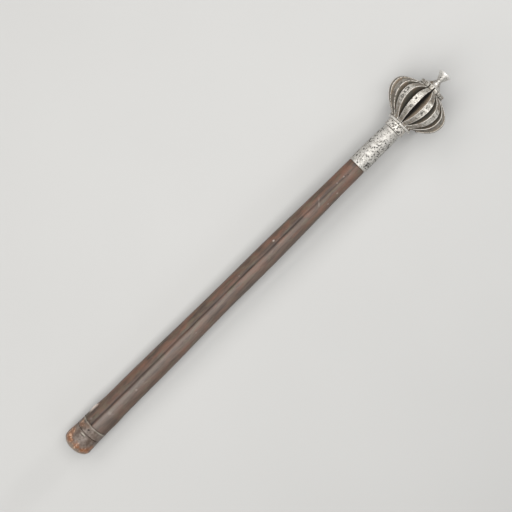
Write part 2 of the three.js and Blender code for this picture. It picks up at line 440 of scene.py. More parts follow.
class TurnedSurface:
    """A turned piece laid out as rings, ready for its relief."""

    POLE_REACH: ClassVar[float] = 1.5
    LEAST_GIRTH: ClassVar[float] = 0.01

    def __init__(self, profile: Profile, sides: int, tapering: bool = False) -> None:
        """Lays the surface out.

        Args:
            profile: outline of the piece.
            sides: places round each ring.
            tapering: whether marks keep their true size where the piece is thinner.
        """
        along, radius, out_along, out_radius = profile.places()
        self.turn = (np.arange(sides) / sides * 2 * math.pi - math.pi)[None, :]
        self.along = along[:, None] + 0 * self.turn
        self.radius = radius[:, None] + 0 * self.turn
        self.out_along = out_along[:, None]
        self.out_radius = out_radius[:, None]
        self.widest = float(radius.max())
        if tapering:
            self.around = self.turn * self.radius
            self.girth = 2 * math.pi * self.radius + self.LEAST_GIRTH
        else:
            self.around = self.turn * self.widest + 0 * self.along
            self.girth = 2 * math.pi * self.widest
        self.space = self._space(self.along, self.radius)

    def _space(self, along: Grid, radius: Grid) -> Grid:
        """Places as along, left and up from the axis."""
        return np.stack([along, -radius * np.sin(self.turn), radius * np.cos(self.turn)], -1)

    @property
    def degrees(self) -> Grid:
        """Angle of every place round the ring."""
        return np.degrees(self.turn)

    def around_at(self, degrees: float) -> float:
        """Place round the surface at an angle."""
        return math.radians(degrees) * self.widest

    def marks(self, spots: tuple[Spot, ...] = (), cuts: tuple[Cut, ...] = ()) -> Marks:
        """A sheet of marks laid on this surface.

        Args:
            spots: dents that it starts with.
            cuts: straight lines that it starts with.

        Returns:
            The sheet.
        """
        sheet = Marks(self.along, self.around, self.girth)
        for along, degrees, radius, depth in spots:
            sheet.dot(along, self.around_at(degrees), radius, depth)
        for first, first_angle, last, last_angle, width, depth in cuts:
            start = (first, self.around_at(first_angle))
            sheet.stroke(start, (last, self.around_at(last_angle)), width, depth)
        return sheet

    def raised(self, relief: Grid, left: Amount = 0.0) -> Grid:
        """Places with the relief added along the outward direction, and moved left.

        Args:
            relief: height in millimetres, negative inwards, which fades out at a pole.
            left: sideways shift of each place.

        Returns:
            Places as along, left and up from the axis, in millimetres.
        """
        held = relief * unit(self.radius / self.POLE_REACH)
        space = self._space(self.along + held * self.out_along, self.radius + held * self.out_radius)
        space[..., 1] += left
        return space


class Sum(Enum):
    """What is done with two numbers in a material."""

    PLUS = "ADD"
    LESS = "SUBTRACT"
    TIMES = "MULTIPLY"


class Shading:
    """A small builder for the nodes of one material."""

    RANGE_SOCKETS: ClassVar[tuple[str, ...]] = ("Value", "From Min", "From Max", "To Min", "To Max")

    def __init__(self, name: str) -> None:
        """Starts a material with its shader and the place that its noises read.

        Args:
            name: the material's name.
        """
        self.finished = bpy.data.materials.new(name)
        self.finished.use_nodes = True
        self.tree = self.finished.node_tree
        self.tree.nodes.clear()
        output = self.node("ShaderNodeOutputMaterial")
        self.shader = self.node("ShaderNodeBsdfPrincipled")
        self.link(self.shader.outputs["BSDF"], output.inputs["Surface"])
        self.place = self.node("ShaderNodeTexCoord").outputs["Object"]

    def node(self, kind: str, **settings: object) -> bpy.types.Node:
        """Adds a node and sets its properties.

        Args:
            kind: the node's type.
            **settings: its properties by name.

        Returns:
            The new node.
        """
        made = self.tree.nodes.new(kind)
        for key, value in settings.items():
            setattr(made, key, value)
        return made

    def link(self, output: Socket, target: Socket) -> None:
        """Joins two sockets."""
        self.tree.links.new(output, target)

    def feed(self, target: Socket, value: Feed) -> None:
        """Gives a socket a number, a colour or another socket.

        Args:
            target: the socket that is fed.
            value: what it is given.
        """
        if isinstance(value, Socket):
            self.link(value, target)
        elif isinstance(value, tuple):
            target.default_value = (*value, 1.0)
        else:
            target.default_value = value

    def value(self, name: str) -> Socket:
        """A shading value that the mesh carries."""
        return self.node("ShaderNodeAttribute", attribute_name=name).outputs["Fac"]

    def stretched(self, size: float | Triple) -> Socket:
        """Place divided by a size in millimetres, turned in line with the mace.

        Args:
            size: one size for all axes, or one for each.

        Returns:
            The place, as a noise reads it.
        """
        sizes = size if isinstance(size, tuple) else (size, size, size)
        turn = self.node("ShaderNodeMapping", vector_type="POINT")
        turn.inputs["Rotation"].default_value = (0, PLACEMENT.tilt, 0)
        turn.inputs["Scale"].default_value = (1 / METRES, 1 / METRES, 1 / METRES)
        self.link(self.place, turn.inputs["Vector"])
        scale = self.node("ShaderNodeMapping", vector_type="POINT")
        scale.inputs["Scale"].default_value = tuple(1 / one for one in sizes)
        self.link(turn.outputs["Vector"], scale.inputs["Vector"])
        return scale.outputs["Vector"]

    def noise(self, size: float | Triple, detail: float = 4.0, rough: float = 0.6,
              twist: float = 0.0) -> Socket:
        """Noise whose cells have a size in millimetres.

        Args:
            size: size of the cells, one for all axes or one for each.
            detail: how many finer layers it has.
            rough: how strong the finer layers are.
            twist: how far the noise is bent by itself.

        Returns:
            The noise's factor, from 0 to 1.
        """
        made = self.node("ShaderNodeTexNoise")
        self.link(self.stretched(size), made.inputs["Vector"])
        made.inputs["Scale"].default_value = 1.0
        made.inputs["Detail"].default_value = detail
        made.inputs["Roughness"].default_value = rough
        made.inputs["Distortion"].default_value = twist
        return made.outputs["Factor"] if "Factor" in made.outputs else made.outputs["Fac"]

    def cells(self, size: float) -> Socket:
        """Distance to the nearest of scattered points.

        Args:
            size: spacing of the points in millimetres.

        Returns:
            The distance, in spacings.
        """
        made = self.node("ShaderNodeTexVoronoi")
        self.link(self.stretched(size), made.inputs["Vector"])
        made.inputs["Scale"].default_value = 1.0
        return made.outputs["Distance"]

    def span(self, value: Socket, low: float, high: float, start: float = 0.0,
             end: float = 1.0) -> Socket:
        """Maps a value smoothly from one range onto another.

        Args:
            value: what is mapped.
            low: the value that gives start.
            high: the value that gives end.
            start: the result at low.
            end: the result at high.

        Returns:
            The mapped value.
        """
        made = self.node("ShaderNodeMapRange", interpolation_type="SMOOTHSTEP")
        for key, one in zip(self.RANGE_SOCKETS, (value, low, high, start, end)):
            self.feed(made.inputs[key], one)
        return made.outputs["Result"]

    def reckon(self, what: Sum, first: Feed, second: Feed) -> Socket:
        """Adds, takes away or multiplies two numbers.

        Args:
            what: which of the three.
            first: a number or a socket.
            second: a number or a socket.

        Returns:
            The result.
        """
        made = self.node("ShaderNodeMath", operation=what.value)
        self.feed(made.inputs[0], first)
        self.feed(made.inputs[1], second)
        return made.outputs[0]

    def broken_up(self, name: str, by: Feed) -> Socket:
        """A shading value of the mesh, broken up by a noise or scaled by a number."""
        return self.reckon(Sum.TIMES, self.value(name), by)

    def mix(self, part: Feed, first: Feed, second: Feed) -> Socket:
        """Mixes two colours.

        Args:
            part: share of the second colour.
            first: a colour or a socket.
            second: a colour or a socket.

        Returns:
            The mixed colour.
        """
        made = self.node("ShaderNodeMix", data_type="RGBA")
        for place, one in ((0, part), (6, first), (7, second)):
            self.feed(made.inputs[place], one)
        return made.outputs[2]

    def bump(self, height: Socket, depth: float, under: Socket | None = None) -> Socket:
        """Bends the surface's normal by a height.

        Args:
            height: the height, from 0 to 1.
            depth: what 1 means, in millimetres.
            under: the normal that this one is laid over.

        Returns:
            The bent normal.
        """
        made = self.node("ShaderNodeBump")
        made.inputs["Strength"].default_value = 1.0
        made.inputs["Distance"].default_value = depth * METRES
        self.link(height, made.inputs["Height"])
        if under is not None:
            self.link(under, made.inputs["Normal"])
        return made.outputs["Normal"]

    def shade(self, **sockets: Feed) -> bpy.types.Material:
        """Sets the shader's sockets, with underscores for spaces in their names.

        Args:
            **sockets: a number, a colour or a socket for each.

        Returns:
            The finished material.
        """
        for key, value in sockets.items():
            self.feed(self.shader.inputs[key.replace("_", " ")], value)
        return self.finished


class Finish(ABC):
    """What a surface is made of and how it has aged."""

    @abstractmethod
    def material(self) -> bpy.types.Material:
        """The material for this finish."""


@dataclass(frozen=True)
class HaftLeather(Finish):
    """Dark red-brown leather, rubbed to a dull shine, reddish where it is worn."""

    deep: Colour = (0.026, 0.013, 0.008)
    brown: Colour = (0.074, 0.040, 0.022)
    worn: Colour = (0.150, 0.064, 0.036)
    olive: Colour = (0.088, 0.070, 0.040)
    dust_and_sheen: Colour = (0.148, 0.120, 0.106)
    pale: Colour = (0.46, 0.40, 0.36)
    grime_and_shade: Colour = (0.010, 0.006, 0.004)
    cloud_size: Triple = (46, 9, 9)
    streak_size: Triple = (34.0, 2.6, 2.6)
    stain_size: Triple = (15, 4.5, 4.5)
    line_size: Triple = (9, 0.8, 0.8)
    grain_size: float = 0.55
    grain_depth: float = 0.09
    line_depth: float = 0.10

    def material(self) -> bpy.types.Material:
        """Streaky colour, worn ridges, dusty colour with a painted sheen, a seam darkened by soiling and
        painted shade, and a fine grain.

        Returns:
            The material.
        """
        made = Shading("haft_leather")
        cloud = made.noise(self.cloud_size)
        streaks = made.noise(self.streak_size, twist=0.4)
        grain = made.noise(self.grain_size, 3)
        base = made.mix(made.span(streaks, 0.3, 0.72), self.deep, self.brown)
        base = made.mix(made.span(cloud, 0.46, 0.7, 0, 0.65), base, self.worn)
        base = made.mix(made.broken_up("wear", made.span(grain, 0.3, 0.6)), base, self.worn)
        stain = made.span(made.noise(self.stain_size), 0.50, 0.64, 0, 0.7)
        base = made.mix(stain, base, self.olive)
        # Dusty grey beside the seam, with a painted sheen
        dusty_sheen = made.broken_up("dust_and_sheen", made.span(streaks, 0.25, 0.7, 0.5, 1))
        base = made.mix(dusty_sheen, base, self.dust_and_sheen)
        # Pale scuffs and spots, and the painted highlight on the fold
        base = made.mix(made.value("pale"), base, self.pale)
        # Dark nicks, with painted shade in the seam and in the line beside the fold
        base = made.mix(made.value("cut"), base, self.grime_and_shade)
        rough = made.span(streaks, 0.25, 0.8, 0.50, 0.64)
        rough = made.reckon(Sum.PLUS, rough, made.broken_up("cut", 0.25))
        normal = made.bump(grain, self.grain_depth)
        normal = made.bump(made.noise(self.line_size, 3, 0.55), self.line_depth, normal)
        return made.shade(Base_Color=base, Roughness=rough, Normal=normal, Specular_IOR_Level=0.65)


@dataclass(frozen=True)
class CapLeather(Finish):
    """Brown leather of the butt, scuffed grey-brown and worn to tan along its edges."""

    brown: Colour = (0.074, 0.050, 0.037)
    dusty: Colour = (0.156, 0.123, 0.103)
    tan: Colour = (0.60, 0.38, 0.25)
    rust: Colour = (0.170, 0.060, 0.018)
    pale: Colour = (0.44, 0.43, 0.36)
    grime_and_shade: Colour = (0.012, 0.008, 0.005)
    patch_size: float = 5.5
    blotch_size: float = 2.8
    small_size: float = 1.3
    grain_size: float = 0.5
    small_depth: float = 0.16
    grain_depth: float = 0.10

    def material(self) -> bpy.types.Material:
        """Patchy colour, orange and tan wear where the mesh says, and a fine grain.

        Returns:
            The material.
        """
        made = Shading("cap_leather")
        patches = made.noise(self.patch_size)
        small = made.noise(self.small_size, rough=0.65)
        blotch = made.noise(self.blotch_size, 3)
        base = made.mix(made.span(patches, 0.36, 0.66), self.brown, self.dusty)
        base = made.mix(made.span(small, 0.54, 0.70, 0, 0.5), base, self.brown)
        worn = made.mix(made.span(blotch, 0.51, 0.66), self.rust, self.tan)
        base = made.mix(made.broken_up("wear", made.span(small, 0.30, 0.50)), base, worn)
        # A pale bar and spots, and the painted highlight along the band's lip
        base = made.mix(made.value("pale"), base, self.pale)
        # Dark dents and cuts, with painted shade under the band's lip and under the bar
        base = made.mix(made.value("cut"), base, self.grime_and_shade)
        rough = made.span(small, 0.2, 0.8, 0.42, 0.62)
        normal = made.bump(made.noise(self.grain_size, 3, 0.55), self.grain_depth)
        normal = made.bump(small, self.small_depth, normal)
        return made.shade(Base_Color=base, Roughness=rough, Normal=normal, Specular_IOR_Level=0.55)


@dataclass(frozen=True)
class Silvered(Finish):
    """Bright silvered metal, dull in its hollows and black in its pits."""

    name: str = "silvered"
    bright: Colour = (0.56, 0.545, 0.515)
    dull: Colour = (0.25, 0.236, 0.208)
    warm: Colour = (0.40, 0.315, 0.225)
    white: Colour = (0.80, 0.785, 0.75)
    pit: Colour = (0.012, 0.011, 0.009)
    polish: Pair = (0.54, 0.66)
    pocks: float = 0.85
    metal: float = 0.48
    cloud_size: float = 4.2
    speck_size: float = 0.8
    pock_size: float = 1.55
    pock_field_size: float = 5.0
    warm_size: float = 2.6
    speck_depth: float = 0.10
    pock_depth: float = 0.15

    def material(self) -> bpy.types.Material:
        """Bright ground, whiter where it is rubbed and where a highlight is painted, dull and warm
        patches, and dark pits.

        Returns:
            The material.
        """
        made = Shading(self.name)
        cloud = made.noise(self.cloud_size, rough=0.62)
        specks = made.noise(self.speck_size, rough=0.65)
        pocks = made.span(made.cells(self.pock_size), 0.20, 0.36, self.pocks, 0)
        pocked = made.span(made.noise(self.pock_field_size, 3), 0.44, 0.56)
        pocks = made.reckon(Sum.TIMES, pocks, pocked)
        base = made.mix(made.span(cloud, 0.44, 0.72, 0, 0.7), self.bright, self.dull)
        warmth = made.broken_up("warm", made.span(made.noise(self.warm_size), 0.35, 0.6))
        base = made.mix(warmth, base, self.warm)
        base = made.mix(made.span(specks, 0.52, 0.66, 0, 0.85), base, self.dull)
        base = made.mix(made.broken_up("shine", made.span(specks, 0.66, 0.46)), base, self.white)
        base = made.mix(pocks, base, self.pit)
        base = made.mix(made.value("cut"), base, self.pit)
        rough = made.span(cloud, 0.3, 0.75, *self.polish)
        rough = made.reckon(Sum.PLUS, rough, made.broken_up("cut", 0.3))
        normal = made.bump(specks, self.speck_depth)
        normal = made.bump(made.reckon(Sum.LESS, 1.0, pocks), self.pock_depth, normal)
        return made.shade(Base_Color=base, Roughness=rough, Metallic=self.metal, Normal=normal)


@dataclass(frozen=True)
class FlangeSteel(Finish):
    """Grey steel, bright on the outer faces and their edges with painted highlights, dark with brown
    crust and painted shade between them.
    """

    bright: Colour = (0.66, 0.635, 0.585)
    grey: Colour = (0.19, 0.176, 0.150)
    dull: Colour = (0.064, 0.057, 0.044)
    tarnish: Colour = (0.130, 0.092, 0.062)
    edge: Colour = (0.74, 0.71, 0.66)
    side: Colour = (0.150, 0.142, 0.118)
    crust: Colour = (0.190, 0.147, 0.108)
    scraped_and_lit: Colour = (0.60, 0.48, 0.36)
    cut: Colour = (0.012, 0.010, 0.008)
    cloud_size: float = 3.4
    speck_size: float = 0.6
    small_size: float = 1.5
    patch_size: float = 7.5
    metal: float = 0.62
    speck_depth: float = 0.10
    small_depth: float = 0.28

    def material(self) -> bpy.types.Material:
        """Bright rubbed faces with painted highlights, tarnished ones, dark sides with brown patches and
        painted shade, and dark engraving.

        Returns:
            The material.
        """
        made = Shading("flange_steel")
        cloud = made.noise(self.cloud_size, rough=0.62)
        specks = made.noise(self.speck_size, 3)
        small = made.noise(self.small_size, rough=0.65)
        patches = made.noise(self.patch_size)
        rubbed = made.mix(made.span(cloud, 0.46, 0.70, 0, 0.75), self.bright, self.grey)
        rubbed = made.mix(made.span(small, 0.49, 0.57, 0, 0.85), rubbed, self.grey)
        tarnished = made.mix(made.span(cloud, 0.40, 0.62), self.dull, self.tarnish)
        tarnished = made.mix(made.span(small, 0.50, 0.58, 0, 0.55), tarnished, self.grey)
        # A face's brightness: rubbed wear with a painted highlight
        face = made.mix(made.value("rub_and_highlight"), tarnished, rubbed)
        # Worn rims, with a painted highlight on the upper ones
        face = made.mix(made.value("edge"), face, self.edge)
        side = made.mix(made.span(patches, 0.45, 0.62), self.side, self.crust)
        # Scraped edges on the sides, and the painted light on a side shown as lit
        side = made.mix(made.value("edge"), side, self.scraped_and_lit)
        side = made.mix(made.span(small, 0.48, 0.66, 0, 0.6), side, self.cut)
        base = made.mix(made.value("face"), side, face)
        base = made.mix(made.span(specks, 0.60, 0.72, 0, 0.65), base, self.cut)
        # Dark engraving and notches, with painted shade under the lugs and between the flanges
        base = made.mix(made.value("cut"), base, self.cut)
        rough = made.span(cloud, 0.3, 0.75, 0.46, 0.62)
        metal = made.broken_up("rub_and_highlight", self.metal)
        normal = made.bump(specks, self.speck_depth)
        normal = made.bump(small, self.small_depth, normal)
        return made.shade(
            Base_Color=base, Roughness=rough, Metallic=metal, Normal=normal, Specular_IOR_Level=0.3
        )


@dataclass(frozen=True)
class ShadedCoreSteel(Finish):
    """The dark ground between the flanges: old steel painted near black as shade, with faint brown
    patches.
    """

    dark: Colour = (0.006, 0.005, 0.004)
    brown: Colour = (0.018, 0.012, 0.008)
    patch_size: float = 3.5
    grain_size: float = 0.7
    grain_depth: float = 0.16

    def material(self) -> bpy.types.Material:
        """Near-black painted shade in dark and brown patches, with a rough grain.

        Returns:
            The material.
        """
        made = Shading("core_steel_painted_shade")
        patches = made.noise(self.patch_size, rough=0.65)
        base = made.mix(made.span(patches, 0.40, 0.66), self.dark, self.brown)
        rough = made.span(patches, 0.2, 0.8, 0.65, 0.85)
        normal = made.bump(made.noise(self.grain_size, rough=0.65), self.grain_depth)
        return made.shade(Base_Color=base, Roughness=rough, Normal=normal, Specular_IOR_Level=0.25)


@dataclass(frozen=True)
class PaleFloor(Finish):
    """A plain pale floor with the faintest unevenness of tone."""

    light: Colour = (0.44, 0.44, 0.435)
    shade: Colour = (0.415, 0.415, 0.41)
    cloud_size: float = 260.0

    def material(self) -> bpy.types.Material:
        """Two close pale tones in wide soft clouds.

        Returns:
            The material.
        """
        made = Shading("pale_floor")
        base = made.mix(made.noise(self.cloud_size, 2, 0.55), self.light, self.shade)
        return made.shade(Base_Color=base, Roughness=0.9, Specular_IOR_Level=0.2)


class Finishes:
    """One material for each finish, made once and shared."""

    def __init__(self) -> None:
        """Makes every material."""
        self.haft = HaftLeather().material()
        self.cap = CapLeather().material()
        self.silvered = Silvered().material()
        self.turned = Silvered(
            "turned_silver", dull=(0.20, 0.18, 0.15), warm=(0.15, 0.108, 0.072), polish=(0.36, 0.48),
            pocks=0.3, metal=0.62,
        ).material()
        self.flange = FlangeSteel().material()
        self.core = ShadedCoreSteel().material()
        self.floor = PaleFloor().material()


class Slot(Enum):
    """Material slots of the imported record."""

    HAFT = "haft_leather"
    CAP = "cap_leather"
    SILVERED = "silvered"
    FLANGE = "flange_steel"


def settle(piece: bpy.types.Object, node: str, material: bpy.types.Material) -> None:
    """Dresses a piece, makes it stand for a solid and reports it.

    Args:
        piece: the finished piece, in place.
        node: the solid that it stands for.
        material: its material.
    """
    piece.data.materials.append(material)
    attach(piece, "root")
    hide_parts(node)
    triangles = sum(len(face.vertices) - 2 for face in piece.data.polygons)
    log.info("%s: %d triangles", piece.name, triangles)


@dataclass
class Haft:
    """The haft in its sewn leather cover, from the butt band to the sleeve."""

    SEAM_COURSE: ClassVar[tuple[Pair, ...]] = (
        (41.8, -18.6), (90.0, -17.6), (200.0, -17.0), (300.0, -16.2), (350.0, -14.6), (400.0, -16.4),
        (445.0, -10.5), (493.5, -9.0),
    )
    PALE_SPOTS: ClassVar[tuple[Spot, ...]] = (
        (68.7, 3.7, 2.2, 0.15), (112.5, 12.5, 1.2, 0.3), (453.2, 30.5, 1.0, 0.4),
        (436.5, 38.0, 1.0, 0.4), (300.0, -28.0, 0.8, 0.3), (214.0, 22.0, 0.7, 0.3),
        (47.0, -38.0, 1.6, 0.2), (359.5, -33.0, 1.2, 0.9), (472.7, -12.7, 0.8, 0.6),
        (461.7, -12.7, 0.8, 0.5),
    )
    RED_SPOTS: ClassVar[tuple[Spot, ...]] = (
        (479.0, -55.0, 5.0, 0.9), (453.0, 39.5, 1.8, 1.0), (330.0, -52.0, 6.0, 0.6),
        (140.0, -48.0, 7.0, 0.5), (466.0, 52.0, 5.0, 0.8), (462.0, -62.0, 4.0, 0.7),
        (410.0, -12.0, 5.0, 0.8), (385.0, -50.0, 5.0, 0.6), (486.0, -22.0, 3.0, 0.6),
        (365.0, -20.0, 5.0, 0.6), (425.0, 30.0, 4.0, 0.5),
    )
    NICKS: ClassVar[tuple[Spot, ...]] = ((361.6, -30.0, 0.8, 0.3), (478.0, -3.5, 0.8, 0.5))
    SCRATCHES: ClassVar[tuple[Cut, ...]] = (
        (434.2, -27.0, 427.0, 6.5, 1.0, 0.6), (152.0, -84.0, 153.0, -74.0, 1.0, 0.6),
        (155.0, -84.0, 156.0, -75.0, 1.0, 0.6), (158.0, -83.0, 158.6, -75.0, 1.0, 0.6),
    )

    butt_radius: float = 17.4
    grip_radius: float = 16.4
    top_radius: float = 11.75
    swell: float = 0.1
    wave: float = 0.28
    wave_length: float = 215.0
    wave_crest: float = 140.0
    spigot_radius: float = 10.0
    spigot_tip: float = 8.8
    sides: int = 150
    step: float = 0.95
    seam_widths: Triple = (2.0, 1.5, 1.25)
    seam_depth: float = 0.85
    seam_shade: float = 0.45
    seam_fading: float = 0.35
    seam_wander: float = 0.9
    strip_width: float = 1.7
    strip_height: float = 0.16
    step_height: float = 0.22
    step_reach: float = 12.0
    fold_angle: float = -70.0
    fold_ends: Pair = (48.0, 66.0)
    fold_height: float = 2.0
    fold_width: float = 1.5
    fold_line: float = 2.9
    fold_line_depth: float = 0.6
    scuffs: int = 140
    scuff_places: Pair = (44.0, 488.0)
    scuff_girth: float = 50.0
    scuff_spread: Pair = (5.0, 1.6)
    scuff_depths: Pair = (0.05, 0.18)
    striations: Triple = (89.5, 99.5, 1.9)
    striation_angles: Pair = (-84.0, -73.0)
    striation_depth: float = 0.3
    scuff_width: float = 0.9
    lobes: float = 0.30
    lobe_size: Triple = (38, 11, 11)
    lines: float = 0.07
    line_size: Triple = (14, 1.5, 1.5)
    seed: int = 11

    def radius_at(self, along: Amount) -> Amount:
        """Radius of the cover, as the solid has it.

        Args:
            along: place along the mace.

        Returns:
            The radius there.
        """
        part = (along - SIZES.grip) / (SIZES.socket - SIZES.grip)
        taper = self.grip_radius + (self.top_radius - self.grip_radius) * part
        wave = self.wave * np.cos(2 * math.pi * (along - self.wave_crest) / self.wave_length)
        return taper + self.swell * np.sin(math.pi * part) + wave

    def profile(self) -> Profile:
        """Outline of the whole haft with its hidden ends.

        Returns:
            The outline, from the butt's middle to the tip's.
        """
        start, end = SIZES.haft_start, SIZES.socket - SIZES.gap
        body = [(float(s), float(self.radius_at(s))) for s in np.linspace(SIZES.grip, end, 60)]
        butt = [(SIZES.band_top, self.butt_radius), (SIZES.butt_end, self.butt_radius)]
        tip = [(SIZES.taper, self.spigot_radius), (SIZES.socket_top, self.spigot_tip)]
        tip += [(SIZES.socket_top, 0)]
        line = Profile().run([(start, 0), (start, SIZES.tenon_radius)], 4.0)
        line.run([(SIZES.band_top, SIZES.tenon_radius)], 6.0)
        line.run([*butt, *body], self.step)
        line.run([(end, self.spigot_radius)], 1.5)
        return line.run(tip, 8.0)

    def past_seam(self, surface: TurnedSurface, noise: Unevenness) -> Grid:
        """Distance round from the middle of the seam, in millimetres.

        Args:
            surface: the laid-out haft.
            noise: its unevenness.

        Returns:
            The distance, positive to the seam's right.
        """
        places, angles = zip(*self.SEAM_COURSE)
        angle = np.interp(surface.along, places, angles)
        wander = noise.at(surface.space * [1, 0, 0], 24, 2) * self.seam_wander
        turned = surface.degrees - angle - wander
        return np.radians((turned + 180) % 360 - 180) * surface.radius

    def seam(self, over: Grid, surface: TurnedSurface, noise: Unevenness) -> tuple[Grid, Grid]:
        """The sewn seam: a groove with a lapped, slightly raised edge of leather at its right.

        Args:
            over: distance round from the middle of the seam.
            surface: the laid-out haft.
            noise: its unevenness.

        Returns:
            The relief, and how dark the groove is, from soiling and painted shade, with painted shade at
            its left.
        """
        width = np.interp(surface.along, (SIZES.band_top, 120.0, SIZES.socket), self.seam_widths)
        strength = 0.78 + 0.22 * noise.at(surface.space * [1, 0, 0], 15, 2)
        strength = strength * np.interp(surface.along, (400.0, SIZES.socket - 8), (1.0, self.seam_fading))
        groove = bell(over, width) * strength
        # Painted shade at the groove's left; the groove's own darkness is soiling and painted shade
        shade = bell(over + width, width * 1.5) * strength
        strip = bell(over - self.strip_width * 1.4, self.strip_width) * strength
        lap = np.where(over > 0, np.exp(-np.abs(over) / self.step_reach), 0)
        relief = self.strip_height * strip + self.step_height * lap - self.seam_depth * groove
        return relief, np.maximum(groove, self.seam_shade * shade)

    def fold(self, surface: TurnedSurface, noise: Unevenness) -> tuple[Grid, Grid, Grid]:
        """The proud fold of leather at the left above the band, with the line inside it.

        Args:
            surface: the laid-out haft.
            noise: its unevenness.

        Returns:
            The relief, the fold's painted highlight, and the painted shade in the line.
        """
        body = np.sin(math.pi * ramp(surface.along, *self.fold_ends)) ** 0.6
        over = np.radians(surface.degrees - self.fold_angle) * surface.radius
        ridge = body * bell(over, self.fold_width) * (1 + 0.25 * noise.at(surface.space, 2.2))
        line = body * bell(over - self.fold_line, 0.8)
        return self.fold_height * ridge - self.fold_line_depth * line, unit(ridge), line

    def place(self, along: float, degrees: float) -> Pair:
        """Laid-out place of a point on the cover."""
        return along, math.radians(degrees) * float(self.radius_at(along))

    def spots(self, surface: TurnedSurface, spots: tuple[Spot, ...]) -> Grid:
        """Strength of round spots on the cover.

        Args:
            surface: the laid-out haft.
            spots: the spots.

        Returns:
            The strength at every place.
        """
        sheet = surface.marks()
        for along, angle, radius, strength in spots:
            sheet.dot(*self.place(along, angle), radius, strength)
        return sheet.depth

    def scuffed(self, surface: TurnedSurface) -> Grid:
        """The scuffs and scratches all over the cover, among them the few that stand out.

        Args:
            surface: the laid-out haft.

        Returns:
            Their depth at every place.
        """
        marks = surface.marks()
        rng = np.random.default_rng(self.seed)
        for _ in range(self.scuffs):
            along = rng.uniform(*self.scuff_places)
            around = rng.uniform(-self.scuff_girth, self.scuff_girth)
            run, rise = (rng.normal(0, spread) for spread in self.scuff_spread)
            depth = rng.uniform(*self.scuff_depths)
            marks.stroke((along, around), (along + run, around + rise), self.scuff_width, depth)
        low, high = self.striation_angles
        for along in np.arange(*self.striations):
            end = self.place(along + rng.uniform(-0.4, 0.8), high)
            marks.stroke(self.place(along, low), end, self.scuff_width, self.striation_depth)
        for first, first_angle, last, last_angle, width, depth in self.SCRATCHES:
            marks.stroke(self.place(first, first_angle), self.place(last, last_angle), width, depth)
        return marks.depth

    def dusty_sheen(self, over: Grid, surface: TurnedSurface, noise: Unevenness) -> Grid:
        """How dusty the cover is, partly a painted sheen: in bands beside the seam, most near the butt.

        Args:
            over: distance round from the middle of the seam.
            surface: the laid-out haft.
            noise: its unevenness.

        Returns:
            The share of dusty colour and painted sheen, from 0 to 1.
        """
        # A wide band right of the seam and a faint one left of it: dusty grey with a painted sheen
        right = ramp(over, 1.5, 4.0) * ramp(over, 26, 14)
        left = ramp(over, -2, -5) * ramp(over, -14, -8)
        patchy = 0.85 + 0.3 * noise.at(surface.space, (60, 9, 9), 2)
        fading = np.interp(surface.along, (60.0, 250.0, 480.0), (1.0, 0.85, 0.6))
        return unit((0.66 * right + 0.20 * left) * patchy * fading)

    def build(self) -> bpy.types.Object:
        """Builds the haft's surface with its seam, fold, scratches and grain.

        Returns:
            The new object.
        """
        noise = Unevenness(self.seed)
        surface = TurnedSurface(self.profile(), self.sides, tapering=True)
        covered = (surface.along > SIZES.band_top) & (surface.along < SIZES.socket)
        over = self.past_seam(surface, noise)
        seam, groove = self.seam(over, surface, noise)
        fold, fold_highlight, fold_shade = self.fold(surface, noise)
        scuffs = self.scuffed(surface)
        nicks = self.spots(surface, self.NICKS)
        lobes = noise.at(surface.space, self.lobe_size, 2) * self.lobes
        lines = noise.at(surface.space, self.line_size, 2) * self.lines
        relief = (lobes + lines + seam + fold - scuffs - nicks) * covered
        towards_head = np.interp(surface.along, (60.0, 480.0), (0.0, 0.4))
        wear = unit(noise.at(surface.space, (16, 5, 5), 3) * 1.3 + towards_head)
        values = {
            # Dark nicks, and painted shade in the seam groove, at its left and in the line beside the
            # fold
            "cut": unit(groove * 0.9 + nicks * 2 + fold_shade * 0.8) * covered,
            "wear": unit(wear + self.spots(surface, self.RED_SPOTS)),
            "dust_and_sheen": self.dusty_sheen(over, surface, noise),
            # Pale scuffs and spots, and the fold's painted highlight
            "pale": unit(fold_highlight + scuffs * 0.6 + self.spots(surface, self.PALE_SPOTS)),
        }
        return ringed_mesh("haft_cover", PLACEMENT.body(surface.raised(relief)), values, Ends.POLES)


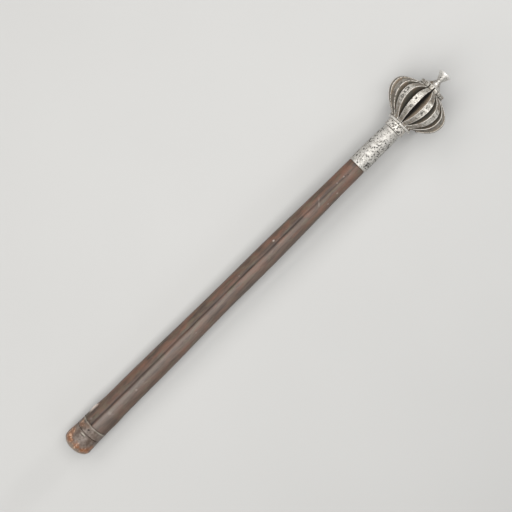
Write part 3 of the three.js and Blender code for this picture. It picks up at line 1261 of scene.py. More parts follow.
@dataclass
class ButtBand:
    """The leather band wrapped round the haft above the cap, with its raised lip."""

    RUBBED_SPOTS: ClassVar[tuple[Spot, ...]] = (
        (32.5, -57.0, 3.8, 0.62), (36.5, -62.0, 3.0, 0.6), (34.0, -46.0, 3.0, 0.45),
        (33.0, 110.0, 3.0, 0.6), (38.0, -22.0, 3.2, 0.25), (36.0, -34.0, 3.2, 0.2),
    )
    NAIL_HOLES: ClassVar[tuple[Spot, ...]] = ((35.2, -9.5, 1.15, 1.0), (35.0, 150.0, 1.1, 1.0))
    CUTS: ClassVar[tuple[Cut, ...]] = ((34.0, -7.5, 30.8, -6.0, 0.9, 0.35),)
    LIP_ANGLES: ClassVar[tuple[float, ...]] = (-90, -62, -45, 0, 20, 60, 90)
    LIP_HIGHLIGHT: ClassVar[tuple[float, ...]] = (1, 1.2, 0.3, 0.4, 0.8, 0.9, 0.6)

    radius: float = 17.6
    lip_radius: float = 17.9
    lip: float = 1.6
    sides: int = 200
    seed: int = 21

    def build(self) -> bpy.types.Object:
        """Builds the band with its nail holes, cut and uneven lip.

        Returns:
            The new object.
        """
        noise = Unevenness(self.seed)
        inside = SIZES.tenon_radius + SIZES.gap
        top = SIZES.band_top - SIZES.gap
        raised_lip = [(top - self.lip, self.lip_radius), (top, self.lip_radius)]
        line = Profile().run([(SIZES.cap_top, inside), (SIZES.cap_top, self.radius)], 0.7)
        line.run([(top - 2 * self.lip, self.radius), *raised_lip], 0.4)
        line.run([(top, inside)], 0.7).run([(SIZES.cap_top + 0.5, inside)], 4.0)
        surface = TurnedSurface(line, self.sides)
        marks = surface.marks(self.NAIL_HOLES, self.CUTS)
        # A shallow groove under the lip, darkened as painted shade
        groove_and_shade_under_lip = bell(surface.along - top + 2.9, 0.8) * unit(0.5 + noise.at(surface.space, 5))
        outside = unit((surface.radius - inside) / 1.2)
        rough = noise.at(surface.space, 4.5, 3) * 0.22 + noise.at(surface.space, (1.2, 4, 4), 2) * 0.08
        relief = (rough - 0.15 - marks.depth - 0.2 * groove_and_shade_under_lip) * outside
        wear = surface.marks(self.RUBBED_SPOTS).depth
        wear = wear + np.clip(noise.at(surface.space, 5, 3) * 1.4 - 0.55, 0, 0.4)
        # A painted highlight along the lip, strongest at its left
        lip = bell(surface.along - top + 0.8, 0.9)
        lip = lip * unit(0.62 + 0.6 * noise.at(surface.space, 5, 2))
        lip = lip * np.interp(surface.degrees, self.LIP_ANGLES, self.LIP_HIGHLIGHT)
        values = {
            "cut": unit(marks.depth * 1.5 + groove_and_shade_under_lip * 0.5),
            "wear": unit(wear),
            "pale": unit(lip * 0.75),
        }
        return ringed_mesh("butt_binding", PLACEMENT.body(surface.raised(relief)), values, Ends.LOOP)


@dataclass
class ButtCap:
    """The domed leather cap over the butt, worn to tan round its edge."""

    RUBBED_SPOTS: ClassVar[tuple[Spot, ...]] = (
        (18.0, -61.5, 5.6, 1.0), (13.0, -52.0, 5.2, 1.0), (14.0, 51.0, 5.0, 1.0),
        (18.0, 60.0, 4.6, 0.9), (14.8, -11.0, 1.2, 0.5), (9.0, -38.0, 4.2, 0.9),
        (10.0, 34.0, 4.2, 0.8), (15.0, 150.0, 5.0, 0.8), (9.5, 2.0, 3.4, 0.8),
        (20.0, -88.0, 5.0, 0.8), (19.0, 92.0, 5.0, 0.8), (14.0, -130.0, 5.0, 0.7),
    )
    DENTS: ClassVar[tuple[Spot, ...]] = (
        (22.0, -12.0, 0.7, 0.35), (20.0, -7.0, 0.6, 0.3), (18.6, -9.5, 0.6, 0.3),
        (12.2, 2.0, 0.9, 0.35), (13.4, -22.0, 0.8, 0.35), (11.0, 22.0, 0.8, 0.3),
        (16.5, 70.0, 1.0, 0.4), (13.0, 80.0, 0.9, 0.35), (19.0, 100.0, 0.9, 0.3),
        (12.5, -95.0, 1.0, 0.35), (21.0, 160.0, 0.8, 0.3),
    )
    # The first cut lies just below the bar: a shallow groove darkened as the bar's painted shadow
    CUTS: ClassVar[tuple[Cut, ...]] = (
        (25.1, -23.0, 25.3, -1.0, 1.1, 0.5), (28.4, -60.0, 28.6, -30.0, 0.8, 0.25),
    )
    BARS: ClassVar[tuple[Cut, ...]] = ((26.7, -22.0, 26.9, -2.0, 1.3, 1.0),)

    edge_radius: float = SIZES.cap_edge_radius
    edge_flat: float = 4.0
    top_radius: float = 17.7
    dome_curve: float = 2.3
    bar_height: float = 0.45
    skew: float = 1.6
    sides: int = 220
    seed: int = 31

    def profile(self) -> Profile:
        """Outline from the dome's pole to the cup inside.

        Returns:
            The outline.
        """
        power = 2 / self.dome_curve
        dome = [
            (SIZES.cap_edge * (1 - max(0.0, math.cos(a)) ** power),
             self.edge_radius * math.sin(a) ** power)
            for a in np.linspace(0, math.pi / 2, 40)
        ]
        inside = SIZES.tenon_radius + SIZES.gap
        top = SIZES.cap_top - SIZES.gap
        floor = SIZES.cap_top - SIZES.cup_depth
        edge = (SIZES.cap_edge + self.edge_flat, self.edge_radius - SIZES.bevel)
        line = Profile().run([*dome, edge, (top, self.top_radius), (top, inside)], 0.45)
        return line.run([(floor, inside), (floor, 0)], 4.0)

    def build(self) -> bpy.types.Object:
        """Builds the cap with its scuffed edge, short bar and flat spot.

        Returns:
            The new object.
        """
        noise = Unevenness(self.seed)
        surface = TurnedSurface(self.profile(), self.sides)
        inside = (surface.radius < SIZES.tenon_radius + 1) & (surface.along > SIZES.cap_edge)
        marks = surface.marks(self.DENTS, self.CUTS).depth
        bar = surface.marks(cuts=self.BARS).depth
        rough = noise.at(surface.space, 5, 3) * 0.34 + noise.at(surface.space, 1.4, 2) * 0.12
        relief = np.where(inside, 0, rough - 0.3 - marks + bar * self.bar_height)
        relief = np.where(surface.along < 2, np.minimum(relief, -0.05), relief)
        rubbed = surface.marks(self.RUBBED_SPOTS).depth
        edge = surface.along - 11.0 - 1.8 * noise.at(surface.space, 6)
        band = bell(edge, 2.3) * unit(0.55 + 1.1 * noise.at(surface.space, 4.5, 3))
        dome = ramp(surface.along, 10, 5) * ~inside
        cream = unit(noise.at(surface.space + 9, 3.2, 2) * 2.2 - 0.9) * bell(edge, 3.5)
        skew = self.skew * unit(1 - surface.along / SIZES.cap_edge) ** 2
        places = PLACEMENT.body(surface.raised(relief, skew))
        places[..., 2] = np.maximum(places[..., 2], 0)
        values = {
            "cut": unit(marks * 1.6),
            "wear": unit(band + rubbed + 0.35 * dome) * ~inside,
            "pale": unit(bar * 0.62 + cream * 0.75 + 0.22 * dome),
        }
        return ringed_mesh("butt_dome", places, values, Ends.POLES)


class PittedMetal:
    """Shared ways of ageing the silvered pieces."""

    def __init__(self, surface: TurnedSurface, seed: int) -> None:
        """Lays out the marks of one piece.

        Args:
            surface: the laid-out piece.
            seed: seed of its unevenness and of its pits.
        """
        self.surface = surface
        self.noise = Unevenness(seed)
        self.rng = np.random.default_rng(seed)
        self.marks = surface.marks()

    def scatter(self, count: int, along: Pair, angles: Pair, radii: Pair, depth: float) -> None:
        """Scatters round pits.

        Args:
            count: how many.
            along: lowest and highest place along the piece.
            angles: lowest and highest angle.
            radii: smallest and largest radius.
            depth: depth of the largest.
        """
        for _ in range(count):
            radius = radii[0] + (radii[1] - radii[0]) * self.rng.random() ** 2
            around = self.surface.around_at(self.rng.uniform(*angles))
            self.marks.dot(self.rng.uniform(*along), around, radius, depth * radius / radii[1])

    def scratch(self, count: int, along: Pair, angles: Pair, width: float, depth: float) -> None:
        """Scatters short scratches.

        Args:
            count: how many.
            along: lowest and highest place along the piece.
            angles: lowest and highest angle.
            width: width of each.
            depth: depth of the deepest.
        """
        for _ in range(count):
            start = (self.rng.uniform(*along), self.surface.around_at(self.rng.uniform(*angles)))
            end = (start[0] + self.rng.normal(0, 1.3), start[1] + self.rng.normal(0, 1.3))
            self.marks.stroke(start, end, width, depth * self.rng.uniform(0.5, 1))

    def press(self, spots: tuple[Spot, ...] = (), cuts: tuple[Cut, ...] = ()) -> None:
        """Adds dents and cuts whose places are known."""
        pressed = self.surface.marks(spots, cuts)
        self.marks.depth = np.maximum(self.marks.depth, pressed.depth)

    def relief(self, hammered: float) -> Grid:
        """Height left after the pits, with a slight unevenness that never stands proud."""
        uneven = self.noise.at(self.surface.space, 6, 3) * hammered - hammered
        return uneven - self.marks.depth

    def values(self, warm: Amount = 0.0, shine: Amount = 0.0) -> dict[str, Grid]:
        """Shading values: how dirty each place is, how warm its tarnish, and how white it is: rubbed on
        the collar and disc, a painted highlight on the finial.
        """
        blank = 0 * self.marks.depth
        return {"cut": unit(self.marks.depth * 4.0), "warm": warm + blank, "shine": shine + blank}


@dataclass
class Sleeve:
    """The bright pitted metal sleeve under the head, with its lower lip."""

    PIT_FIELDS: ClassVar[tuple[tuple[int, Pair, Pair, Pair, float], ...]] = (
        (420, (495, 550), ALL_ROUND, (0.25, 0.6), 0.22),
        (200, (496, 547), (40, 95), (0.35, 0.95), 0.40),
        (40, (496, 547), (22, 44), (0.35, 0.9), 0.38),
        (130, (497, 548), (-90, -48), (0.35, 0.95), 0.40),
        (60, (497, 540), (-40, 30), (0.4, 0.8), 0.34),
    )
    DENTS: ClassVar[tuple[Spot, ...]] = (
        (500.5, 35.5, 1.15, 0.5), (496.2, -17.0, 0.9, 0.4), (527.5, -11.0, 0.7, 0.32),
    )
    CUTS: ClassVar[tuple[Cut, ...]] = (
        (526.8, 1.0, 528.6, 6.0, 1.0, 0.32), (510.5, -13.5, 507.5, 0.5, 0.9, 0.3),
        (539.2, 5.5, 539.2, 26.5, 0.6, 0.22), (539.2, 5.5, 533.5, 9.5, 0.6, 0.22),
    )

    radius: float = 12.3
    lip_radius: float = 12.5
    lip: float = 2.4
    taper_radius: float = 11.9
    neck: float = 2.5
    neck_radius: float = 10.8
    top_radius: float = 10.6
    top_bore: float = 9.1
    bore: float = 10.3
    hammered: float = 0.09
    sides: int = 250
    seed: int = 41

    def build(self) -> bpy.types.Object:
        """Builds the sleeve with its pits, scratches and engraved corner.

        Returns:
            The new object.
        """
        foot, top = SIZES.socket, SIZES.socket_top
        line = Profile().run([(foot, self.bore), (foot, self.lip_radius - SIZES.bevel)], 0.5)
        line.run([(foot + SIZES.bevel, self.lip_radius), (foot + self.lip, self.lip_radius)], 0.3)
        line.run([(foot + 2 * self.lip, self.radius), (SIZES.taper, self.taper_radius)], 0.32)
        line.run([(top - self.neck, self.neck_radius), (top, self.top_radius)], 0.32)
        line.run([(top, self.top_bore)], 0.5).run([(SIZES.taper, self.bore), (foot + 1, self.bore)], 8.0)
        surface = TurnedSurface(line, self.sides)
        metal = PittedMetal(surface, self.seed)
        for count, along, angles, radii, depth in self.PIT_FIELDS:
            metal.scatter(count, along, angles, radii, depth)
        metal.scratch(110, (496, 546), ALL_ROUND, 0.55, 0.18)
        metal.press(self.DENTS, self.CUTS)
        outside = surface.radius > self.bore + 0.05
        relief = np.where(outside, metal.relief(self.hammered), 0)
        return ringed_mesh("sleeve", PLACEMENT.body(surface.raised(relief)), metal.values(), Ends.LOOP)


@dataclass
class Collar:
    """The ring that closes the sleeve's upper end, notched and flared at its lower edge."""

    DOTS: ClassVar[tuple[Pair, ...]] = (
        (558.2, -23.0), (559.2, 6.0), (557.0, 7.0), (554.2, -3.5), (554.2, 18.5), (559.0, -12.0),
        (556.0, -17.0), (560.2, 15.0), (555.6, 29.0), (557.6, -33.0), (557.8, 41.0), (560.0, -44.0),
    )
    NOTCHES: ClassVar[tuple[float, ...]] = (
        -42, -33, -21, 24, 34, 45, 76, 83, 121, 133, 160, 171, -75, -88, -130, -141, -156,
    )

    radius: float = 12.8
    lip_radius: float = 13.2
    lip: float = 1.5
    dot_radius: float = 0.85
    dot_depth: float = 0.45
    notch_width: float = 0.8
    notch_depth: float = 0.38
    hammered: float = 0.08
    sides: int = 260
    seed: int = 51

    def build(self) -> bpy.types.Object:
        """Builds the collar with its file cuts, dots and pits.

        Returns:
            The new object.
        """
        bottom = SIZES.socket_top + 2 * SIZES.gap
        top = SIZES.disc - SIZES.gap
        flared = [(bottom + SIZES.bevel, self.lip_radius), (bottom + self.lip, self.radius)]
        line = Profile().run([(bottom, 0)], 1.0).run([(bottom, self.lip_radius - SIZES.bevel)], 1.2)
        line.run([*flared, (top, self.radius)], 0.26)
        line.run([(top, self.radius - 1)], 0.3).run([(top, 0)], 1.5)
        surface = TurnedSurface(line, self.sides)
        metal = PittedMetal(surface, self.seed)
        metal.scatter(60, (bottom + 1, top), ALL_ROUND, (0.22, 0.6), 0.3)
        metal.press(tuple((*dot, self.dot_radius, self.dot_depth) for dot in self.DOTS))
        for angle in self.NOTCHES:
            end = bottom + 2.2 + 2.0 * metal.rng.random()
            cut = (bottom + 1.0, angle, end, angle + 1, self.notch_width, self.notch_depth)
            metal.press(cuts=(cut,))
        shine = unit(0.42 + 0.6 * metal.noise.at(surface.space, 2.5, 2))
        places = PLACEMENT.head(surface.raised(metal.relief(self.hammered)))
        return ringed_mesh("neck_ring", places, metal.values(0.35, shine), Ends.POLES)


@dataclass
class NeckDisc:
    """The sharp-rimmed disc under the flanges, its lower edge a little wavy."""

    rim_radius: float = 17.0
    waist_radius: float = 15.8
    rim: float = 0.9
    offset: float = -0.5
    ripple: float = 0.30
    hammered: float = 0.04
    sides: int = 280
    seed: int = 61

    def build(self) -> bpy.types.Object:
        """Builds the disc with its nicked rim.

        Returns:
            The new object.
        """
        bottom, top = SIZES.disc, SIZES.foot - SIZES.gap
        edge = bottom + SIZES.bevel
        worn = self.rim_radius - SIZES.bevel
        line = Profile().run([(bottom, 0)], 1.0).run([(bottom, worn)], 1.2)
        line.run([(edge, self.rim_radius), (edge + self.rim, worn)], 0.24)
        line.run([(top, self.waist_radius), (top, self.waist_radius - 1)], 0.24).run([(top, 0)], 1.8)
        surface = TurnedSurface(line, self.sides)
        metal = PittedMetal(surface, self.seed)
        metal.scatter(26, (bottom, top), ALL_ROUND, (0.3, 0.6), 0.3)
        metal.press(cuts=((bottom, -8.0, edge + 1.4, -7.0, 0.9, 0.6),))
        outer = unit((surface.radius - self.waist_radius + 0.4) / 1.2)
        ripple = (metal.noise.at(surface.space * [0, 1, 1], 5.5, 2) - 1) * self.ripple
        relief = metal.relief(self.hammered) + ripple * outer
        places = PLACEMENT.head(surface.raised(relief, self.offset))
        shine = unit(0.75 + 0.4 * metal.noise.at(surface.space, 3, 2))
        return ringed_mesh("rimmed_disc", places, metal.values(0.3, shine), Ends.POLES)


@dataclass
class FlangeFace:
    """The outer face of a flange with its relief, each grid rings by places across."""

    along: Grid
    path: Grid
    across: Grid
    inset: Grid
    flat: Grid
    notches: Grid
    engraved: Grid
    raised_along: Grid
    raised_radius: Grid


@dataclass
class FlangeSides:
    """The two sides of a flange, mirrored but for their hollows, rings by places from the root."""

    part: Grid
    along: Grid
    radius: Grid
    left: Grid
    right: Grid
    root_along: Grid


@dataclass
class Flange:
    """One curved flange with its engraved outer face and the squared lug at its top."""

    BROKEN: ClassVar[tuple[int, ...]] = (4, 5)
    RINGS: ClassVar[dict[int, tuple[Spot, ...]]] = {
        15: ((0.8, -0.84, 1.75, 1.95), (-8.1, 0.41, 1.5, 1.15)),
        16: ((-9.5, 0.6, 1.3, 1.2),),
        1: ((-6.7, -0.2, 1.05, 1.15),),
        2: (),
    }
    DOTS: ClassVar[dict[int, tuple[Triple, ...]]] = {
        15: ((1.7, 0.2, 0.6), (-8.3, 0.6, 0.45), (-14.0, -0.8, 0.5)),
        16: ((1.2, -0.5, 0.75), (0.1, -0.3, 0.5), (2.2, -1.3, 0.45), (-9.5, 0.6, 0.45)),
        1: (
            (2.3, -0.6, 0.6), (1.3, -0.65, 0.55), (0.0, -3.7, 0.6), (-3.3, -0.1, 0.5),
            (-6.7, -0.2, 0.4), (-16.8, 0.2, 0.6),
        ),
        2: ((12.0, 0.5, 0.5),),
    }

    # How bright a face is, at its widest place and above it: rubbed wear with a painted highlight,
    # strongest on the upper flanges
    RUB_AND_HIGHLIGHT: ClassVar[dict[int, Pair]] = {
        13: (0.2, 0.12), 14: (0.22, 0.08), 15: (0.95, 0.12), 16: (1.0, 0.58), 1: (1.0, 0.10),
        2: (1.0, 0.04), 3: (0.2, 0.04), 4: (0.15, 0.04),
    }
    OTHER_RUB_AND_HIGHLIGHT: ClassVar[Pair] = (0.42, 0.2)

    # How dark the left and the right side are: painted shade in the gap with some soiling; below 0 even
    # the deeper part is clean, and the side is painted as lit
    SHADE_AND_SOOT: ClassVar[dict[int, Pair]] = {
        13: (0.4, 0.0), 14: (0.4, 0.25), 15: (0.5, 0.1), 16: (0.5, 0.95), 1: (-0.4, 0.85),
        2: (0.25, 0.85), 3: (0.6, 0.5), 4: (0.1, 0.4),
    }
    OTHER_SHADE_AND_SOOT: ClassVar[Pair] = (0.35, 0.35)

    number: int
    foot_radius: float = 15.9
    shoulder_radius: float = 16.9
    groove_radius: float = 16.2
    lug_radius: float = 17.1
    root_radius: float = 14.8
    root_width: float = 5.0
    end_width: float = 5.5
    extra_width: float = 3.0
    width_curve: float = 1.5
    lower_curve: float = 2.2
    upper_curve: float = 2.42
    reach_swing: float = 0.8
    equator_swing: float = 0.9
    curve_swing: float = 0.15
    setting_error: float = 1.2
    break_inner: float = 572.0
    break_outer: float = 570.0
    break_bend: float = 0.8
    break_reach: float = 8.0
    border: float = 0.75
    sunk: float = 0.14
    rounding: float = 0.32
    notch: float = 0.16
    lump: float = 0.07
    line: float = 0.5
    scrolls: int = 26
    step: float = 0.36
    face_places: int = 33
    side_places: int = 10
    root_places: int = 3

    @property
    def broken(self) -> bool:
        """Whether this flange has lost its foot."""
        return self.number in self.BROKEN

    @property
    def turn(self) -> float:
        """Turn about the axis, with its setting error.

        Returns:
            The turn in radians.
        """
        pitch = 360 / SIZES.flanges
        error = self.setting_error * math.sin(1.5 * self.number + 0.4)
        return math.radians(pitch * (self.number - 0.5) + error)

    @property
    def side(self) -> float:
        """How far this flange is on the right: 1 at the right, -1 at the left."""
        return math.sin(self.turn)

    def reach_at(self, along: Amount) -> Grid:
        """Outer radius between the foot and the shoulder, as the solid has it.

        Args:
            along: place along the mace.

        Returns:
            The radius there.
        """
        widest = SIZES.equator_radius - self.reach_swing * self.side
        equator = SIZES.equator - self.equator_swing * self.side
        low = unit((equator - along) / (equator - SIZES.flare))
        high = unit((along - equator) / (SIZES.shoulder - equator))
        lower = self.lower_curve + self.curve_swing * self.side
        upper = self.upper_curve - self.curve_swing * self.side
        below = self.foot_radius + (widest - self.foot_radius) * (1 - low**lower)
        above = self.shoulder_radius + (widest - self.shoulder_radius) * (1 - high**upper)
        return np.where(along <= equator, below, above)

    def width_at(self, along: Grid) -> Grid:
        """Width of the outer face, which is widest at the equator.

        Args:
            along: place along the mace.

        Returns:
            The width there.
        """
        lower = SIZES.equator - SIZES.flare
        half = np.where(along < SIZES.equator, lower, SIZES.shoulder - SIZES.equator)
        part = unit(np.abs(along - SIZES.equator) / half)
        return self.end_width + self.extra_width * (1 - part**self.width_curve)

    def outline(self) -> tuple[Grid, Grid, Grid, Grid]:
        """Close places along the outer face from foot to lug.

        Returns:
            Place along the axis, radius, and the outward direction along and away from the axis.
        """
        start = self.break_outer if self.broken else SIZES.flare
        quarter = np.linspace(0, math.pi / 2, 90)
        below = SIZES.equator - (SIZES.equator - start) * np.sin(quarter[::-1])
        above = SIZES.equator + (SIZES.shoulder - SIZES.equator) * np.sin(quarter)[1:]
        corners = [(float(s), float(self.reach_at(s))) for s in np.concatenate([below, above])]
        if self.broken:
            corners[0] = (self.break_outer, corners[0][1] + self.break_bend)
        else:
            corners.insert(0, (SIZES.foot, self.foot_radius))
        corners += [(SIZES.groove, self.groove_radius)]
        corners += [(SIZES.lug, self.lug_radius), (SIZES.lug_top, self.lug_radius)]
        coarse = np.array(corners).T
        length = np.concatenate([[0], np.cumsum(np.hypot(*np.diff(coarse)))])
        even = np.linspace(0, length[-1], round(length[-1] / self.step))
        line = np.array([np.interp(even, length, coarse[0]), np.interp(even, length, coarse[1])])
        slope = np.gradient(line, axis=1)
        slope /= np.hypot(*slope)
        return line[0], line[1], -slope[1], slope[0]

    def engrave(self, marks: Marks, rng: np.random.Generator) -> None:
        """Cuts rings, dots and scrolls down the outer face.

        Args:
            marks: the face laid out, measured from the equator.
            rng: where this flange's unevenness comes from.
        """
        for along, across, radius, stretch in self.RINGS.get(self.number, ()):
            marks.ring((along, across), radius, self.line * 1.5, 0.26, stretch)
        for along, across, radius in self.DOTS.get(self.number, ()):
            marks.dot(along, across, radius * 1.1, 0.40)
        if self.number not in self.RINGS:
            for along in np.arange(-32.0, 25.0, 11.0) + rng.uniform(-2, 2, 6):
                centre = (along, rng.uniform(-0.5, 0.5))
                marks.ring(centre, rng.uniform(1.0, 1.5), self.line * 1.2, 0.22, rng.uniform(1.0, 1.5))
                marks.dot(along + rng.uniform(-0.4, 0.4), centre[1], 0.45, 0.24)
        for _ in range(self.scrolls):
            centre = (rng.uniform(-36, 26), rng.uniform(-2.5, 2.5))
            start = rng.uniform(0, 2 * math.pi)
            end = start + rng.uniform(2.2, 4.6)
            depth = rng.uniform(0.05, 0.15) * (1.7 if centre[0] < -7 else 1.0)
            marks.arc(centre, rng.uniform(0.8, 1.7), (start, end), self.line, depth)

    def face(self, noise: Unevenness) -> FlangeFace:
        """Lays out the outer face with its sunk field, worn border, notches and engraving.

        Args:
            noise: this flange's unevenness.

        Returns:
            The outer face.
        """
        along, reach, out_along, out_radius = (one[:, None] for one in self.outline())
        steps = np.hypot(np.diff(along[:, 0]), np.diff(reach[:, 0]))
        path = np.concatenate([[0], np.cumsum(steps)])[:, None]
        path = path - path[int(np.argmax(reach[:, 0]))]
        ends = np.linspace(-1, 1, self.face_places)[None, :]
        wavy = noise.at(stacked(path, np.sign(ends) * 9, 0.0), (2.4, 1, 1), 2)
        half_width = self.width_at(along) / 2 - 0.12 + 0.12 * wavy
        across = ends * half_width
        flat = stacked(path, across, 0.0)
        marks = Marks(path, across)
        self.engrave(marks, np.random.default_rng(100 + self.number))

        inset = half_width - np.abs(across)
        sunk = self.sunk * unit((inset - self.border) / 0.35) * unit((SIZES.shoulder - along) / 1.5)
        rounded = self.rounding * (1 - unit(inset / 0.4)) ** 2
        notches = self.notch * unit(noise.at(flat, (0.9, 3, 1)) * 2 - 0.6) * (inset < self.border)
        inner = unit((inset - self.border * 0.6) / 0.4)
        engraved = marks.depth * inner * (along < SIZES.shoulder)
        lumps = self.lump * (noise.at(flat, 1.6, 2) - 1)
        height = lumps - sunk - rounded - notches - engraved
        return FlangeFace(
            along, path, across, inset, flat, notches, engraved,
            along + height * out_along, reach + height * out_radius,
        )

    def sides(self, face: FlangeFace, noise: Unevenness) -> FlangeSides:
        """Sweeps both sides from the root to the edges of the outer face.

        Args:
            face: the outer face.
            noise: this flange's unevenness.

        Returns:
            The two sides.
        """
        root_along = face.along
        if self.broken:
            lag = self.break_inner - self.break_outer
            root_along = face.along + lag * unit(1 - (face.along - self.break_outer) / self.break_reach)
        edge_along, edge_radius = face.raised_along[:, :1], face.raised_radius[:, :1]
        edge_across = np.abs(face.across[:, :1])
        near = 1 - 0.25 / np.maximum(edge_radius - self.root_radius, 1.0)
        part = np.linspace(0, 1, self.side_places + 1)[None, :-1] * near
        part = np.concatenate([part, near], 1)
        along = root_along + (edge_along - root_along) * part
        radius = self.root_radius + (edge_radius - self.root_radius) * part
        across = self.root_width / 2 + (edge_across - self.root_width / 2) * part
        space = stacked(along, radius, across)
        swelling = np.sin(math.pi * part)
        left = -across - swelling * (0.16 * noise.at(space, 4, 3) - 0.08)
        right = across + swelling * (0.16 * noise.at(space + 40, 4, 3) - 0.08)
        return FlangeSides(part, along, radius, left, right, root_along)

    def rubbed(self, face: FlangeFace, noise: Unevenness) -> Grid:
        """How bright the outer face is: rubbed wear with a painted highlight near the equator and on the
        upper flanges.

        Args:
            face: the outer face.
            noise: this flange's unevenness.

        Returns:
            From 0 where it is tarnished to 1 where it is bright.
        """
        level, above = self.RUB_AND_HIGHLIGHT.get(self.number, self.OTHER_RUB_AND_HIGHLIGHT)
        levels = (level * 0.2, level * 0.38, level, level, above)
        # Bright near the equator and dimmer towards the foot: rubbed wear with a painted highlight
        rub_and_highlight = np.interp(face.path, (-34, -20, -8, 7, 13), levels)
        return unit(rub_and_highlight + 0.34 * noise.at(face.flat + 20, (3.6, 2.0, 3), 3))

    @staticmethod
    def side_shade_and_soot(part: Grid, shade_and_soot: float) -> Grid:
        """How dark one side is: painted shade in the gap with some soiling, which thickens towards the
        root.

        Args:
            part: place on the side, from 0 at the root to 1 at the outer face.
            shade_and_soot: how dark its outer part is, as painted shade with some soiling, below 0 where
                even its deeper part is clean.

        Returns:
            From 0 where it is clean to 1 where it is black.
        """
        depth = unit(0.75 + 0.5 * min(shade_and_soot, 0.2) - part) ** 0.8
        return unit(shade_and_soot + depth * (1.1 - shade_and_soot))

    def values(self, face: FlangeFace, sides: FlangeSides, noise: Unevenness) -> dict[str, Grid]:
        """Shading values all round each section.

        Args:
            face: the outer face.
            sides: the two sides.
            noise: this flange's unevenness.

        Returns:
            Values by name: what is face, how bright it is rubbed with a painted highlight, worn edges
                with a painted highlight on the upper ones and a painted lit side, and darkness from
                engraving, notches and painted shade under the lug and between flanges.
        """
        # Painted shade in the groove under the lug
        shade_under_lug = 0.45 * bell(face.along - SIZES.groove, 0.6)
        shade_under_lug = shade_under_lug * np.clip(1 + noise.at(face.flat, 1.5), 0, 1.5)
        # Worn rims, with a painted highlight that makes the upper rim of a sloping face brighter than its
        # lower one
        upper_edge = np.where(face.across * self.side < 0, 1, -1) * abs(self.side)
        rim = unit(1.3 - face.inset / self.border) * unit(0.60 + 0.42 * upper_edge)
        lug_rub = unit(0.72 + 0.5 * noise.at(face.flat, 1.8, 2))
        on_face = {
            "face": 1 + 0 * face.across,
            "rub_and_highlight": np.where(face.along > SIZES.shoulder, lug_rub, self.rubbed(face, noise)),
            "edge": rim * (1 - unit(face.notches * 5)) * (face.along < SIZES.shoulder),
            "cut": unit(face.engraved * 4.2 + face.notches * 2.0 + shade_under_lug),
        }
        left_shade_and_soot, right_shade_and_soot = self.SHADE_AND_SOOT.get(self.number, self.OTHER_SHADE_AND_SOOT)
        corner = 0.4 * ramp(sides.part, 0.9, 1.0)
        # A side marked below 0 takes the light scraped colour over most of its depth, as painted light on
        # that side
        lit_side = 0.9 * unit((sides.part - 0.12) / 0.3) * (left_shade_and_soot < 0)
        blank = 0 * sides.part
        root = np.zeros((len(face.along), self.root_places))
        # Each side is darkened by painted shade with some soiling, and the root strip between flanges is
        # painted black as shade
        beside = {
            "cut": (self.side_shade_and_soot(sides.part, left_shade_and_soot), self.side_shade_and_soot(sides.part, right_shade_and_soot), root + 1),
            "edge": (np.maximum(corner, lit_side), corner, root),
        }
        values = {}
        for key, grid in on_face.items():
            left, right, under = beside.get(key, (blank, blank, root))
            loop = np.concatenate([left, grid, right[:, ::-1], under], 1)
            values[key] = np.concatenate([loop[:1], loop, loop[-1:]])
        return values

    def build(self) -> bpy.types.Object:
        """Builds the flange as sections swept from its foot to its lug.

        Returns:
            The new object.
        """
        noise = Unevenness(200 + self.number)
        face = self.face(noise)
        sides = self.sides(face, noise)
        root = np.zeros((len(face.along), self.root_places))
        root_across = np.linspace(1, -1, self.root_places + 2)[None, 1:-1] * self.root_width / 2
        loops = (
            (sides.along, face.raised_along, sides.along[:, ::-1], root + sides.root_along),
            (sides.radius, face.raised_radius, sides.radius[:, ::-1], root + self.root_radius),
            (sides.left, face.across, sides.right[:, ::-1], root + root_across),
        )
        along, radius, across = (np.concatenate(loop, 1) for loop in loops)
        left = -math.sin(self.turn) * radius - math.cos(self.turn) * across
        up = math.cos(self.turn) * radius - math.sin(self.turn) * across
        rings = np.stack([along, left, up], -1)
        rings = np.concatenate([self._cap(rings[:1]), rings, self._cap(rings[-1:])])
        places = PLACEMENT.head(rings)
        places[..., 2] = np.maximum(places[..., 2], 0)
        values = self.values(face, sides, noise)
        return ringed_mesh(f"blade_{self.number:02d}", places, values, Ends.POLES)

    @staticmethod
    def _cap(ring: Grid) -> Grid:
        """A ring shrunk to its own middle, which closes an end."""
        return np.broadcast_to(ring.mean(1, keepdims=True), ring.shape)


